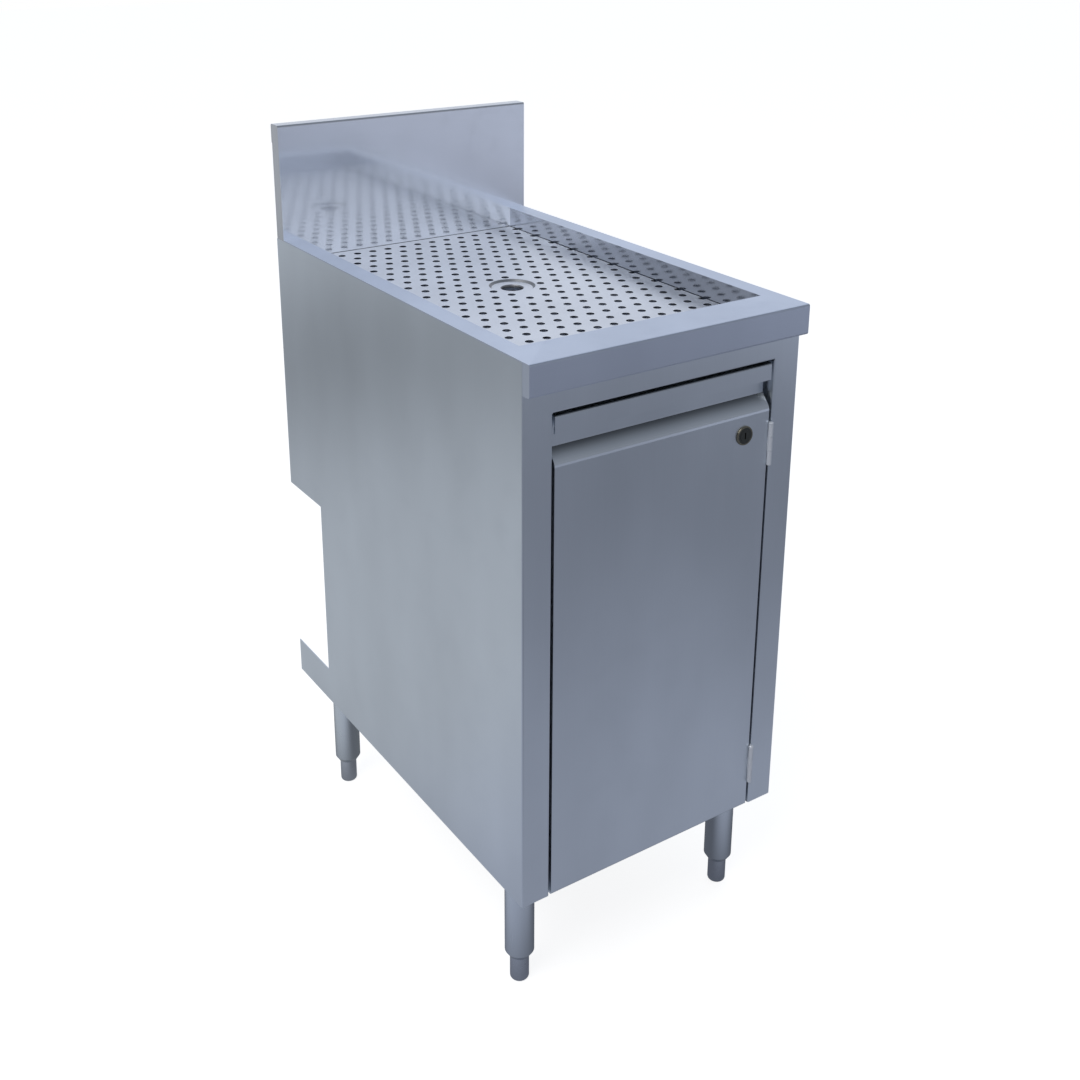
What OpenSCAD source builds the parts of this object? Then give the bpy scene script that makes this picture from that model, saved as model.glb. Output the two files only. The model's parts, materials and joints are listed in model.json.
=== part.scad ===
// Underbar drainboard cabinet in folded stainless sheet, in millimetres.
// The origin is on the floor, under the middle of the overall outline.
// +X is to the right, +Y runs to the wall, +Z is up, and the door faces -Y.

/* [Overall] */
// Width over both side panels
body_w = 381; // [360:1:460]
// Depth from the apron's face to the backsplash's face
deck_d = 592.4; // [560:0.1:680]
// Height of the rim above the floor
rim_h = 819; // [790:1:900]
// Height of the cabinet's underside above the floor
leg_h = 156.7; // [130:0.1:180]

/* [Sheet] */
// Thickness of the top and the backsplash
top_t = 1.5; // [1.2:0.1:2]
// Thickness of the cabinet's panels
sheet_t = 1.2; // [0.9:0.1:1.5]
// Inner radius of the folds
bend_r = 1; // [0.6:0.1:1.5]

/* [Drainboard top] */
// Width of the flat rim along each side
rim_side = 24.2; // [22:0.1:36]
// Width of the flat rim along the front
rim_front = 55.7; // [50:0.1:80]
// Height of the apron
apron_h = 36.2; // [30:0.1:44]
// Distance that the apron stands in front of the door
apron_lip = 12.5; // [10:0.1:18]
// Depth from the rim down to the insert's face
deck_drop = 27.4; // [18:0.1:34]
// Fall of the pan's floor towards the drain
pan_fall = 8; // [3:0.5:12]
// Width of the level ledge round the pan's floor
pan_ledge = 14; // [10:1:24]
// Side of the level square round the drain
drain_flat = 84; // [76:1:110]

/* [Backsplash] */
// Height of the backsplash above the rim
splash_h = 152.4; // [100:0.1:260]
// Depth of its return to the wall
splash_d = 22; // [18:1:50]
// Height of the lip that turns down at the wall
splash_lip = 25; // [12:1:40]

/* [Perforated insert] */
// Height of the insert on its turned-down edges
insert_h = 18; // [12:1:24]
// Clearance between the insert and the pan's walls
insert_gap = 1.5; // [1:0.1:3]
// Diameter of the drain holes
hole_d = 9.8; // [7:0.1:11]
// Distance between neighbouring holes in a row, and twice the distance between rows' offsets
hole_pitch = 23.25; // [22:0.05:28]
// Outer diameter of the dish round the finger hole
finger_dish_d = 59; // [50:1:66]
// Diameter of the finger hole
finger_hole_d = 27; // [22:1:32]
// Depth of the dish
finger_dish_h = 3; // [2:0.5:5]
// Height of the collar that turns down into the finger hole
finger_collar = 4; // [2:0.5:6]
// Distance of the finger hole behind the middle of the pan
finger_back = 3.8; // [0:0.1:10]

/* [Cabinet] */
// Width of each stile beside the door
stile_w = 37.25; // [32:0.05:50]
// Depth from the rim to the door opening's top edge
header_drop = 63.3; // [58:0.1:80]
// Depth from the rim to the ceiling of the utility chase
chase_drop = 358.2; // [330:0.1:420]
// Depth of the utility chase, forward from the wall
chase_d = 98.2; // [90:0.1:120]
// Height of the base rails and of the front channel between them
rail_h = 50.4; // [40:0.1:60]
// Height of the rear base channel, which stays out of sight behind the rails
rear_channel_h = 14; // [12:0.5:24]
// Width of the lip that the door closes against
stop_lip = 10; // [8:1:16]
// Width of the flanges that turn in along the side panels
side_flange = 12; // [9:1:14]
// Height of the middle shelf above the cabinet's floor
mid_shelf_h = 232; // [190:1:260]
// Setback of the middle shelf behind the door
mid_shelf_setback = 26; // [16:1:60]
// Height of the shelves' turned-down edges
shelf_edge = 26; // [18:1:32]
// Diameter of the pipe hole in the chase's ceiling
pipe_hole_d = 42; // [30:1:42]

/* [Door] */
// Thickness of the door
door_t = 22; // [20:0.5:26]
// Gap above the door
door_gap_top = 3.2; // [2:0.1:6]
// Gap beside the door on its free side
door_gap_free = 2.8; // [2:0.1:5]
// Gap beside the door on its hinge side
door_gap_hinge = 4.2; // [4:0.1:5]
// Height of the strip in front of the pull
pull_strip_h = 20.2; // [16:0.1:26]
// Depth of the pull
pull_d = 12.7; // [11:0.1:14]
// Height of the pull's back wall
pull_wall_h = 39.1; // [34:0.1:50]
// Height of the ramp that leads from the door's face to the back wall
pull_ramp_h = 14.7; // [12:0.1:20]
// Radius of the fold between the door's face and the pull's ramp
pull_bend_r = 10; // [2:0.5:12]
// Height of the hem behind the strip's lower edge
pull_hem = 7; // [4:0.5:9]

/* [Hinges] */
// Height of each hinge
hinge_h = 52; // [40:1:64]
// Outer diameter of the knuckles
knuckle_d = 5.8; // [5:0.1:5.8]
// Diameter of the hinge pins
pin_d = 3; // [2.6:0.1:3.2]
// Thickness of the hinge leaves
leaf_t = 1.2; // [0.9:0.1:1.2]
// Width of the hinge leaves behind the knuckles
leaf_w = 16; // [12:0.5:17]
// Distance of the pin's axis in front of the door's face
pin_out = 2.4; // [2.4:0.1:2.8]
// Distance from the door's top to the middle of the upper hinge
hinge_top = 99; // [80:1:140]
// Distance from the door's bottom to the middle of the lower hinge
hinge_bottom = 60.3; // [45:0.1:120]

/* [Lock] */
// Distance of the lock from the door's hinge edge
lock_in = 37; // [30:0.5:60]
// Depth of the lock below the door's top
lock_drop = 80.6; // [74:0.1:90]
// Diameter of the lock's bezel
bezel_d = 23.6; // [21:0.1:26]
// Diameter of the lock's body
lock_body_d = 18.8; // [17:0.1:20]
// Diameter of the turning plug
plug_d = 14; // [11:0.1:15]
// Length of the cam from the lock's axis
cam_l = 44; // [40:1:50]

/* [Drain] */
// Outer diameter of the tailpiece
tail_d = 38.1; // [32:0.1:40]
// Length of the tailpiece below its slip nut
tail_l = 88; // [50:1:120]
// Diameter of the drain's flange
drain_flange_d = 68; // [60:1:74]

/* [Legs] */
// Diameter of the leg tubes
leg_d = 36; // [32:0.5:41]
// Distance of the legs from the side panels' outer faces
leg_in = 32.8; // [32:0.1:40]
// Distance of the front legs behind the apron's face
leg_front = 68.4; // [68:0.1:90]
// Distance of the rear legs from the wall
leg_rear = 78.6; // [60:0.1:80]
// Diameter of the bullet feet
foot_d = 23.4; // [20:0.1:26]
// Height of the feet under the tubes
foot_h = 35.8; // [28:0.1:40]

/* [Hidden] */

$fn = 48;
eps = 0.01;

// Colours of the pieces
steel = "#8f97a3";
bright_steel = "#b9c2d2";
dark_metal = "#3a3935";
rubber_black = "#26272a";
plastic_grey = "#5b5e63";

// Clearances that several pieces share
rest_gap = 0.3;
running_gap = 0.05;
screw_gap = 0.1;

// Overall lines, with Y counted from the apron's face
total_d = deck_d + splash_d;
half_w = body_w / 2;
inner_x = half_w - sheet_t;
top_z = rim_h + splash_h;
panel_z1 = rim_h - top_t;

// Pan and insert
pan_x = half_w - rim_side;
pan_mid_y = (rim_front + deck_d) / 2;
insert_top = rim_h - deck_drop;
pan_edge_z = insert_top - insert_h;
pan_low_z = pan_edge_z - pan_fall;
insert_x = pan_x - insert_gap;
insert_y0 = rim_front + insert_gap;
insert_y1 = deck_d - insert_gap;
insert_t = top_t;
finger_y = pan_mid_y + finger_back;
hole_margin = 3;
hole_web = 0.5;
notch_depth = 4;

// Cabinet
face_y = apron_lip;
stile_x = half_w - stile_w;
lip_y = face_y + door_t + rest_gap;
jamb_y = lip_y + sheet_t;
opening_z1 = rim_h - header_drop;
chase_z = rim_h - chase_drop;
chase_y = total_d - chase_d;
floor_z = leg_h + rail_h;
mid_z = floor_z + mid_shelf_h;
channel_z0 = leg_h + sheet_t;
rear_channel_z1 = channel_z0 + rear_channel_h;
channel_t = 1.5;
channel_w = 61.4;
front_channel_y = jamb_y + sheet_t;
front_channel_y1 = leg_front * 2 - front_channel_y;
rear_leg_y = total_d - leg_rear;
support_w = 18;
header_flange = 28;
pipe_hole_wall = 4;
pipe_hole_y = total_d - sheet_t - pipe_hole_wall - pipe_hole_d / 2;
fold_steps = 3;

// Door
door_x0 = -stile_x + door_gap_free;
door_x1 = stile_x - door_gap_hinge;
door_z0 = leg_h;
door_z1 = opening_z1 - door_gap_top;
ramp_z1 = door_z1 - pull_wall_h;
ramp_z0 = ramp_z1 - pull_ramp_h;
pull_seam_z = ramp_z1 + 1.5;
liner_y = door_t - sheet_t;

// Hinges
pin_x = stile_x - door_gap_hinge / 2;
pin_y = face_y - pin_out;
knuckle_gap = 0.3;
knuckle_h = (hinge_h - 2 * knuckle_gap) / 3;
leaf_y0 = knuckle_d / 2 + 0.4;
upper_hinge_z = door_z1 - hinge_top;
lower_hinge_z = door_z0 + hinge_bottom;
hinge_screw_d = 3;
hinge_screw_y = leaf_y0 + leaf_w / 2;
hinge_screw_z = hinge_h / 2 - 10;
hinge_head_t = 0.5;

// Lock and catch
lock_x = door_x1 - lock_in;
lock_z = door_z1 - lock_drop;
bezel_t = 2.2;
lock_body_l = door_t + 6;
cam_y = lock_body_l + rest_gap;
cam_t = 2;
cam_w = 14;
plug_tail = 7;
keeper_t = 1.5;
keeper_w = 30;
keeper_step = 20;
keeper_bend_r = 0.5;
keeper_low_y = face_y + cam_y - rest_gap;
keeper_z0 = lock_z + cam_l - 14;
header_lip_z = opening_z1 - 12;
catch_in = 60;
catch_x = -stile_x + catch_in;
catch_w = 44;
catch_d = 14;
catch_plate_t = 1.5;
catch_plate_h = 16;

// Drain
drain_throat_r = tail_d / 2 + 1.6;
drain_flange_t = 1.6;
drain_throat_l = 32;
gasket_t = 3;
locknut_h = 9;
slip_nut_h = 16;
tail_wall = 1.2;
tail_in = 8;
tail_sizing = 0.2;
drain_z = pan_low_z;

// Legs
leg_wall = 1.5;
plate_t = 3;
plate_x = 58;
plate_y = 56;
leg_top_z = floor_z - channel_t - plate_t;
rear_leg_top_z = rear_channel_z1 - channel_t - plate_t;
leg_taper_h = 7;
leg_plug_h = 26;
stem_d = 12;
stem_l = 48;
leg_bolt_d = 6;
bolt_x = 21;
bolt_head_h = 3.5;

// Folded sheet: the points of one face of a sheet whose other face lies t to the left,
// or to the right where t is negative, with an inner radius r at each fold.
function unit(v) = v / norm(v);
function left_of(v) = [-v[1], v[0]];
function turned(v, a) = [v[0] * cos(a) - v[1] * sin(a), v[0] * sin(a) + v[1] * cos(a)];
function radius_at(r, i) = is_list(r) ? r[i - 1] : r;
function fold_arc(a, b, c, off, t, r, n) =
    let (
        d0 = unit(b - a),
        d1 = unit(c - b),
        phi = atan2(d0[0] * d1[1] - d0[1] * d1[0], d0 * d1),
        towards = sign(phi) * sign(t),
        face_r = towards > 0 ? r + abs(t) : r,
        start = b - d0 * face_r * tan(abs(phi) / 2),
        centre = start + left_of(d0) * sign(phi) * face_r
    )
    [for (k = [0:n]) centre + turned(start + left_of(d0) * off - centre, phi * k / n)];
function fold_line(path, off, t, r, n = fold_steps) =
    let (last = len(path) - 1)
    concat(
        [path[0] + left_of(unit(path[1] - path[0])) * off],
        [for (i = [1:1:last - 1])
            each fold_arc(path[i - 1], path[i], path[i + 1], off, t, radius_at(r, i), n)],
        [path[last] + left_of(unit(path[last] - path[last - 1])) * off]
    );
function reversed(list) = [for (i = [len(list) - 1:-1:0]) list[i]];
function folded(path, t, r) = concat(fold_line(path, 0, t, r), reversed(fold_line(path, t, t, r)));

// Places whose Y is counted from the apron's face
module from_front() {
    translate([0, -total_d / 2, 0])
        children();
}

// A section drawn in Y and Z, drawn out along X
module along_x(x0, x1) {
    translate([x0, 0, 0])
        rotate([90, 0, 90])
            linear_extrude(x1 - x0)
                children();
}

// A section drawn in X and Y, drawn out along Z
module along_z(z0, z1) {
    translate([0, 0, z0])
        linear_extrude(z1 - z0)
            children();
}

// A box between two corners
module block(a, b) {
    translate(a)
        cube(b - a);
}

// A round bar along Y, from y0 to y1
module bar_y(x, y0, y1, z, d) {
    translate([x, y1, z])
        rotate([90, 0, 0])
            cylinder(h = y1 - y0, d = d);
}

// A round bar along X, from x0 to x1
module bar_x(x0, x1, y, z, d) {
    translate([x0, y, z])
        rotate([0, 90, 0])
            cylinder(h = x1 - x0, d = d);
}

// A ring of height h round the Z axis
module ring(h, outer_d, inner_d) {
    difference() {
        cylinder(h = h, d = outer_d);
        translate([0, 0, -1])
            cylinder(h = h + 2, d = inner_d);
    }
}

// Space above the pan's sloping floor, raised by lift
module pan_hollow(lift) {
    hull() {
        block([-pan_x + pan_ledge, rim_front + pan_ledge, pan_edge_z + lift],
              [pan_x - pan_ledge, deck_d - pan_ledge, pan_edge_z + lift + 1]);
        block([-drain_flat / 2, pan_mid_y - drain_flat / 2, pan_low_z + lift],
              [drain_flat / 2, pan_mid_y + drain_flat / 2, pan_low_z + lift + 1]);
    }
}

// Pan floor: a level ledge round the edge, then four slopes to the drain
module pan_floor() {
    difference() {
        union() {
            difference() {
                block([-pan_x - top_t, rim_front - top_t, pan_edge_z - top_t],
                      [pan_x + top_t, deck_d, pan_edge_z]);
                block([-pan_x + pan_ledge, rim_front + pan_ledge, pan_edge_z - top_t - 1],
                      [pan_x - pan_ledge, deck_d - pan_ledge, pan_edge_z + 1]);
            }
            difference() {
                intersection() {
                    pan_hollow(-top_t);
                    block([-pan_x, rim_front, pan_low_z - top_t], [pan_x, deck_d, pan_edge_z]);
                }
                pan_hollow(0);
            }
        }
        translate([0, pan_mid_y, pan_low_z - top_t - 1])
            cylinder(h = pan_fall + top_t + 2, r = drain_throat_r + rest_gap);
    }
}

// Apron: face, lower return and closed ends, folded down from the front rim
module apron() {
    edge = [
        [rim_front - top_t, rim_h],
        [0, rim_h],
        [0, rim_h - apron_h],
        [apron_lip, rim_h - apron_h]
    ];
    along_x(-half_w, half_w)
        polygon(folded(edge, top_t, bend_r));
    for (side = [-1, 1])
        translate([side * (half_w - top_t / 2), 0, 0])
            along_x(-top_t / 2, top_t / 2)
                polygon([
                    [bend_r, rim_h - bend_r],
                    [bend_r, rim_h - apron_h + bend_r],
                    [apron_lip, rim_h - apron_h],
                    [apron_lip, rim_h - bend_r]
                ]);
}

module drainboard_top() {
    color(bright_steel) from_front() {
        apron();
        // Flat rim beside the pan
        for (x0 = [-half_w, pan_x])
            block([x0, rim_front - top_t - eps, panel_z1], [x0 + rim_side, deck_d, rim_h]);
        // Front wall of the pan
        block([-pan_x - top_t, rim_front - top_t, pan_edge_z - top_t],
              [pan_x + top_t, rim_front, rim_h]);
        // Side walls of the pan
        for (x0 = [-pan_x - top_t, pan_x])
            block([x0, rim_front - top_t, pan_edge_z - top_t], [x0 + top_t, deck_d, rim_h]);
        pan_floor();
    }
}

module backsplash() {
    edge = [
        [deck_d, panel_z1],
        [deck_d, top_z],
        [total_d, top_z],
        [total_d, top_z - splash_lip]
    ];
    color(bright_steel) from_front() {
        along_x(-half_w, half_w)
            polygon(folded(edge, -top_t, bend_r));
        // Tongue that closes the back of the pan
        block([-pan_x - top_t, deck_d, pan_edge_z - top_t], [pan_x + top_t, deck_d + top_t, rim_h]);
        // Closed ends
        for (x0 = [-half_w, half_w - top_t])
            block([x0, deck_d + top_t, panel_z1], [x0 + top_t, total_d - top_t, top_z - top_t]);
    }
}

// Rows lie half a pitch either side of the finger hole, and every other row is offset
function row_y(k) = finger_y + (k - 0.5) * hole_pitch;
function row_offset(k) = abs(k) % 2 == 1 ? 0 : 0.5;
row_first = ceil((insert_y0 + hole_d / 2 + hole_margin - finger_y) / hole_pitch + 0.5);
row_last = floor((insert_y1 - hole_d / 2 - hole_margin - finger_y) / hole_pitch + 0.5);
col_last = floor(insert_x / hole_pitch);
keep_out_r = finger_dish_d / 2 + hole_d / 2 + hole_web;

module drain_holes() {
    for (k = [row_first:row_last], c = [-col_last - 1:col_last]) {
        x = (c + row_offset(k)) * hole_pitch;
        y = row_y(k);
        if (abs(x) < insert_x && norm([x, y - finger_y]) > keep_out_r)
            translate([x, y])
                circle(d = hole_d, $fn = 24);
    }
}

module insert_outline() {
    translate([-insert_x, insert_y0])
        square([2 * insert_x, insert_y1 - insert_y0]);
}

module insert_edge() {
    difference() {
        insert_outline();
        translate([-insert_x + insert_t, insert_y0 + insert_t])
            square([2 * (insert_x - insert_t), insert_y1 - insert_y0 - 2 * insert_t]);
    }
}

// Finger hole: a stepped dish with a collar turned down into the hole
module finger_dish() {
    r0 = finger_dish_d / 2;
    r1 = r0 - finger_dish_h - 0.5;
    r2 = finger_hole_d / 2;
    edge = [
        [r0 + insert_t, 0],
        [r0, 0],
        [r1, -finger_dish_h],
        [r2, -finger_dish_h],
        [r2, -finger_dish_h - finger_collar]
    ];
    rotate_extrude($fn = 48)
        polygon(folded(edge, insert_t, bend_r));
}

module perforated_insert() {
    color("#c8cfdf") from_front() {
        along_z(insert_top - insert_t, insert_top)
            difference() {
                insert_outline();
                drain_holes();
                translate([0, finger_y])
                    circle(d = finger_dish_d + 2 * insert_t - 1);
            }
        // Turned-down edges, notched where an outer hole runs over the fold
        along_z(insert_top - insert_t - notch_depth, insert_top - insert_t)
            difference() {
                insert_edge();
                drain_holes();
            }
        along_z(pan_edge_z, insert_top - insert_t - notch_depth)
            insert_edge();
        translate([0, finger_y, insert_top])
            finger_dish();
    }
}

// Side panel on the left: outer wall, stile, jamb and stop lip folded from one sheet. The stile
// runs flat beside the header, and the utility chase is cut out of the rear edge.
module side_panel() {
    wall = [[-half_w, total_d], [-half_w, face_y], [-stile_x, face_y]];
    jamb = [[-stile_x, lip_y], [-stile_x + stop_lip, lip_y]];
    from_front()
        difference() {
            union() {
                along_z(leg_h, opening_z1)
                    polygon(folded(concat(wall, jamb), sheet_t, bend_r));
                along_z(opening_z1, panel_z1)
                    polygon(folded(wall, sheet_t, bend_r));
                // Flanges turned in along the top and along the bottom
                block([-half_w, jamb_y, panel_z1 - sheet_t],
                      [-half_w + side_flange, deck_d, panel_z1]);
                block([-half_w, jamb_y, leg_h], [-half_w + side_flange, total_d, leg_h + sheet_t]);
            }
            block([-half_w - 1, chase_y, floor_z], [-half_w + side_flange, total_d + 1, chase_z]);
            // Room for the header's lip
            block([-stile_x, face_y + sheet_t, header_lip_z], [0, jamb_y + 1, panel_z1]);
            // Screw holes for the hinges, cut in both panels so that the door can be rehung
            for (z = hinge_screw_heights())
                bar_x(-stile_x - 4, -stile_x + 4, pin_y + hinge_screw_y, z, hinge_screw_d + 2 * screw_gap);
        }
}

function hinge_screw_heights() =
    [for (z = [upper_hinge_z, lower_hinge_z], s = [-1, 1]) z + s * hinge_screw_z];

module side_panel_left() {
    color(steel)
        side_panel();
}

module side_panel_right() {
    color(steel)
        mirror([1, 0, 0])
            side_panel();
}

// Header: the face above the door, with a top flange and a lip behind the door
module header() {
    section = [
        [face_y + header_flange, panel_z1],
        [face_y, panel_z1],
        [face_y, opening_z1],
        [lip_y, opening_z1],
        [lip_y, header_lip_z]
    ];
    color(steel) from_front()
        difference() {
            along_x(-stile_x, stile_x)
                polygon(folded(section, sheet_t, bend_r));
            for (x = catch_screw_x)
                bar_y(x, lip_y - 1, jamb_y + 1, catch_screw_z, catch_screw_d + 2 * screw_gap);
        }
}

// Back panel: up behind the cabinet, back over the chase, and up along the wall
module back_panel() {
    section = [
        [chase_y, rear_channel_z1],
        [chase_y, chase_z],
        [total_d, chase_z],
        [total_d, panel_z1]
    ];
    color(steel) from_front()
        difference() {
            along_x(-inner_x, inner_x)
                polygon(folded(section, sheet_t, bend_r));
            translate([0, pipe_hole_y, chase_z - 1])
                cylinder(h = sheet_t + 2, d = pipe_hole_d);
        }
}

// Cabinet floor: a tray with its front edge turned down and its rear edge turned up
module bottom_shelf() {
    rear_y = chase_y - sheet_t;
    section = [
        [jamb_y, floor_z + sheet_t - shelf_edge - 6],
        [jamb_y, floor_z + sheet_t],
        [rear_y - sheet_t, floor_z + sheet_t],
        [rear_y - sheet_t, floor_z + 15]
    ];
    color(steel) from_front()
        along_x(-inner_x, inner_x)
            polygon(folded(section, -sheet_t, bend_r));
}

mid_y0 = jamb_y + mid_shelf_setback;
mid_y1 = chase_y - sheet_t - 4;

// Middle shelf: its front and rear edges turn down and in
module mid_shelf() {
    section = [
        [mid_y0 + 12, mid_z - shelf_edge],
        [mid_y0, mid_z - shelf_edge],
        [mid_y0, mid_z],
        [mid_y1, mid_z],
        [mid_y1, mid_z - shelf_edge],
        [mid_y1 - 12, mid_z - shelf_edge]
    ];
    clear_x = inner_x - support_w - 2;
    color(steel) from_front() {
        along_x(-clear_x, clear_x)
            polygon(folded(section, -sheet_t, bend_r));
        for (x0 = [-inner_x + rest_gap, clear_x])
            block([x0, mid_y0 + bend_r, mid_z - sheet_t],
                  [x0 + inner_x - rest_gap - clear_x, mid_y1 - bend_r, mid_z]);
    }
}

// Angle that carries one end of the middle shelf
module shelf_support() {
    section = [
        [-inner_x, mid_z - sheet_t - support_w],
        [-inner_x, mid_z - sheet_t],
        [-inner_x + support_w, mid_z - sheet_t]
    ];
    from_front()
        translate([0, mid_y1 - 10, 0])
            rotate([90, 0, 0])
                linear_extrude(mid_y1 - mid_y0 - 20)
                    polygon(folded(section, -sheet_t, bend_r));
}

module shelf_support_left() {
    color(steel)
        shelf_support();
}

module shelf_support_right() {
    color(steel)
        mirror([1, 0, 0])
            shelf_support();
}

// Base channel: an inverted U across the cabinet, with the leg plates inside it
module base_channel(y0, y1, z1) {
    section = [
        [y0, channel_z0],
        [y0, z1],
        [y1, z1],
        [y1, channel_z0]
    ];
    color(steel) from_front()
        difference() {
            along_x(-inner_x, inner_x)
                polygon(folded(section, -channel_t, bend_r));
            for (x = leg_xs(), dx = [-bolt_x, bolt_x], dy = [-bolt_x, bolt_x])
                translate([x + dx, (y0 + y1) / 2 + dy, z1 - channel_t - 1])
                    cylinder(h = channel_t + 2, d = leg_bolt_d + 2 * screw_gap, $fn = 24);
        }
}

function leg_xs() = [-half_w + leg_in, half_w - leg_in];

module base_channel_front() {
    base_channel(front_channel_y, front_channel_y1, floor_z);
}

module base_channel_rear() {
    base_channel(rear_leg_y - channel_w / 2, rear_leg_y + channel_w / 2, rear_channel_z1);
}

// Legs stand at these places and reach up to these heights, front pair first
function leg_places() =
    [for (yz = [[leg_front, leg_top_z], [rear_leg_y, rear_leg_top_z]], x = leg_xs()) [x, yz[0], yz[1]]];

module leg_plates() {
    color(steel) from_front()
        for (p = leg_places())
            translate(p)
                difference() {
                    block([-plate_x / 2, -plate_y / 2, 0], [plate_x / 2, plate_y / 2, plate_t]);
                    for (dx = [-bolt_x, bolt_x], dy = [-bolt_x, bolt_x])
                        translate([dx, dy, -1])
                            cylinder(h = plate_t + 2, d = leg_bolt_d + 2 * screw_gap, $fn = 24);
                }
}

module leg_screws() {
    color(bright_steel) from_front()
        for (p = leg_places(), dx = [-bolt_x, bolt_x], dy = [-bolt_x, bolt_x])
            translate(p + [dx, dy, 0]) {
                translate([0, 0, -bolt_head_h])
                    cylinder(h = bolt_head_h, d = leg_bolt_d * 1.8, $fn = 6);
                cylinder(h = plate_t + channel_t - rest_gap, d = leg_bolt_d, $fn = 24);
            }
}

// Leg tube: swaged to the foot at its lower end, round a plug that is bored for the foot's stem
module leg_tube(p) {
    r = leg_d / 2;
    bore_r = stem_d / 2 + rest_gap;
    color(bright_steel) from_front()
        translate([p[0], p[1], foot_h])
            rotate_extrude()
                polygon([
                    [bore_r, 0],
                    [foot_d / 2 + 1.8, 0],
                    [r, leg_taper_h],
                    [r, p[2] - foot_h],
                    [r - leg_wall, p[2] - foot_h],
                    [r - leg_wall, leg_plug_h],
                    [bore_r, leg_plug_h]
                ]);
}

// Bullet foot: a rounded nose, a straight barrel and a stem that screws up into the leg
module foot(p) {
    r = foot_d / 2;
    nose_r = 4;
    color(bright_steel) from_front()
        translate([p[0], p[1], 0])
            rotate_extrude()
                polygon(concat(
                    [[0, 0]],
                    [for (a = [0:15:90]) [r - nose_r + nose_r * sin(a), nose_r - nose_r * cos(a)]],
                    [
                        [r, foot_h],
                        [stem_d / 2, foot_h],
                        [stem_d / 2, foot_h + stem_l],
                        [0, foot_h + stem_l]
                    ]
                ));
}

module leg_tube_front_left() leg_tube(leg_places()[0]);
module leg_tube_front_right() leg_tube(leg_places()[1]);
module leg_tube_rear_left() leg_tube(leg_places()[2]);
module leg_tube_rear_right() leg_tube(leg_places()[3]);
module foot_front_left() foot(leg_places()[0]);
module foot_front_right() foot(leg_places()[1]);
module foot_rear_left() foot(leg_places()[2]);
module foot_rear_right() foot(leg_places()[3]);

// Places the drain's pieces on its axis, from height z upwards
module at_drain(z) {
    from_front()
        translate([0, pan_mid_y, z])
            children();
}

module drain_flange() {
    inner_r = tail_d / 2 + screw_gap;
    seat_r = inner_r + 5;
    edge_t = 0.8;
    color(bright_steel)
        at_drain(drain_z)
            rotate_extrude()
                polygon([
                    [inner_r, -drain_throat_l],
                    [drain_throat_r, -drain_throat_l],
                    [drain_throat_r, 0],
                    [drain_flange_d / 2, 0],
                    [drain_flange_d / 2, edge_t],
                    [seat_r, drain_flange_t],
                    [inner_r, edge_t]
                ]);
}

module drain_strainer() {
    disc_d = tail_d + 2 * 5;
    hole = 5;
    color(bright_steel)
        at_drain(drain_z + drain_flange_t) {
            difference() {
                cylinder(h = 1.2, d = disc_d);
                for (ring_n = [[0, 1], [8, 6], [16, 12]], i = [0:ring_n[1] - 1])
                    rotate([0, 0, 360 * i / ring_n[1]])
                        translate([ring_n[0], 0, -1])
                            cylinder(h = 4, d = hole, $fn = 16);
            }
        }
}

module drain_gasket() {
    color(rubber_black)
        at_drain(drain_z - top_t - gasket_t)
            ring(gasket_t, drain_flange_d - 4, 2 * drain_throat_r);
}

module drain_locknut() {
    color(bright_steel)
        at_drain(drain_z - top_t - gasket_t - locknut_h)
            difference() {
                cylinder(h = locknut_h, d = drain_flange_d - 6, $fn = 6);
                translate([0, 0, -1])
                    cylinder(h = locknut_h + 2, r = drain_throat_r + running_gap);
            }
}

tail_top_z = drain_z - drain_throat_l + tail_in;
slip_z0 = drain_z - drain_throat_l - slip_nut_h / 2;

// Tailpiece: a thin tube whose upper end is sized a little smaller to slip into the flange
module drain_tailpiece() {
    color(bright_steel)
        at_drain(slip_z0) {
            translate([0, 0, -tail_l])
                ring(tail_l, tail_d, tail_d - 2 * tail_wall);
            ring(tail_top_z - slip_z0, tail_d - 2 * tail_sizing, tail_d - 2 * tail_wall);
        }
}

module drain_slip_nut() {
    outer_d = 2 * drain_throat_r + 8;
    color(bright_steel)
        at_drain(slip_z0)
            difference() {
                cylinder(h = slip_nut_h, d = outer_d, $fn = 8);
                translate([0, 0, -1])
                    cylinder(h = slip_nut_h + 2, d = tail_d + 2 * running_gap);
                translate([0, 0, slip_nut_h / 2])
                    cylinder(h = slip_nut_h, r = drain_throat_r + running_gap);
            }
}

// Places the door's pieces, with Y counted from the door's face
module from_door_face() {
    from_front()
        translate([0, face_y, 0])
            children();
}

// Door skin: the face, with its bottom and sides turned in to the liner. Its top slopes in as the
// pull's ramp and ends upright, just above that fold.
module door_skin() {
    section = [
        [liner_y, door_z0],
        [0, door_z0],
        [0, ramp_z0],
        [pull_d, ramp_z1],
        [pull_d, pull_seam_z]
    ];
    radii = [bend_r, pull_bend_r, bend_r];
    side = concat(fold_line(section, 0, -sheet_t, radii), [[liner_y, pull_seam_z]]);
    color(steel) from_door_face()
        difference() {
            union() {
                along_x(door_x0, door_x1)
                    polygon(folded(section, -sheet_t, radii));
                for (x0 = [door_x0, door_x1 - sheet_t])
                    along_x(x0, x0 + sheet_t)
                        polygon(side);
            }
            bar_y(lock_x, -1, liner_y, lock_z, lock_body_d + 2 * screw_gap);
            for (z = hinge_screw_heights())
                bar_x(door_x1 - 4, door_x1 + 1, pin_y - face_y + hinge_screw_y, z,
                      hinge_screw_d + 2 * screw_gap);
        }
}

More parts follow.
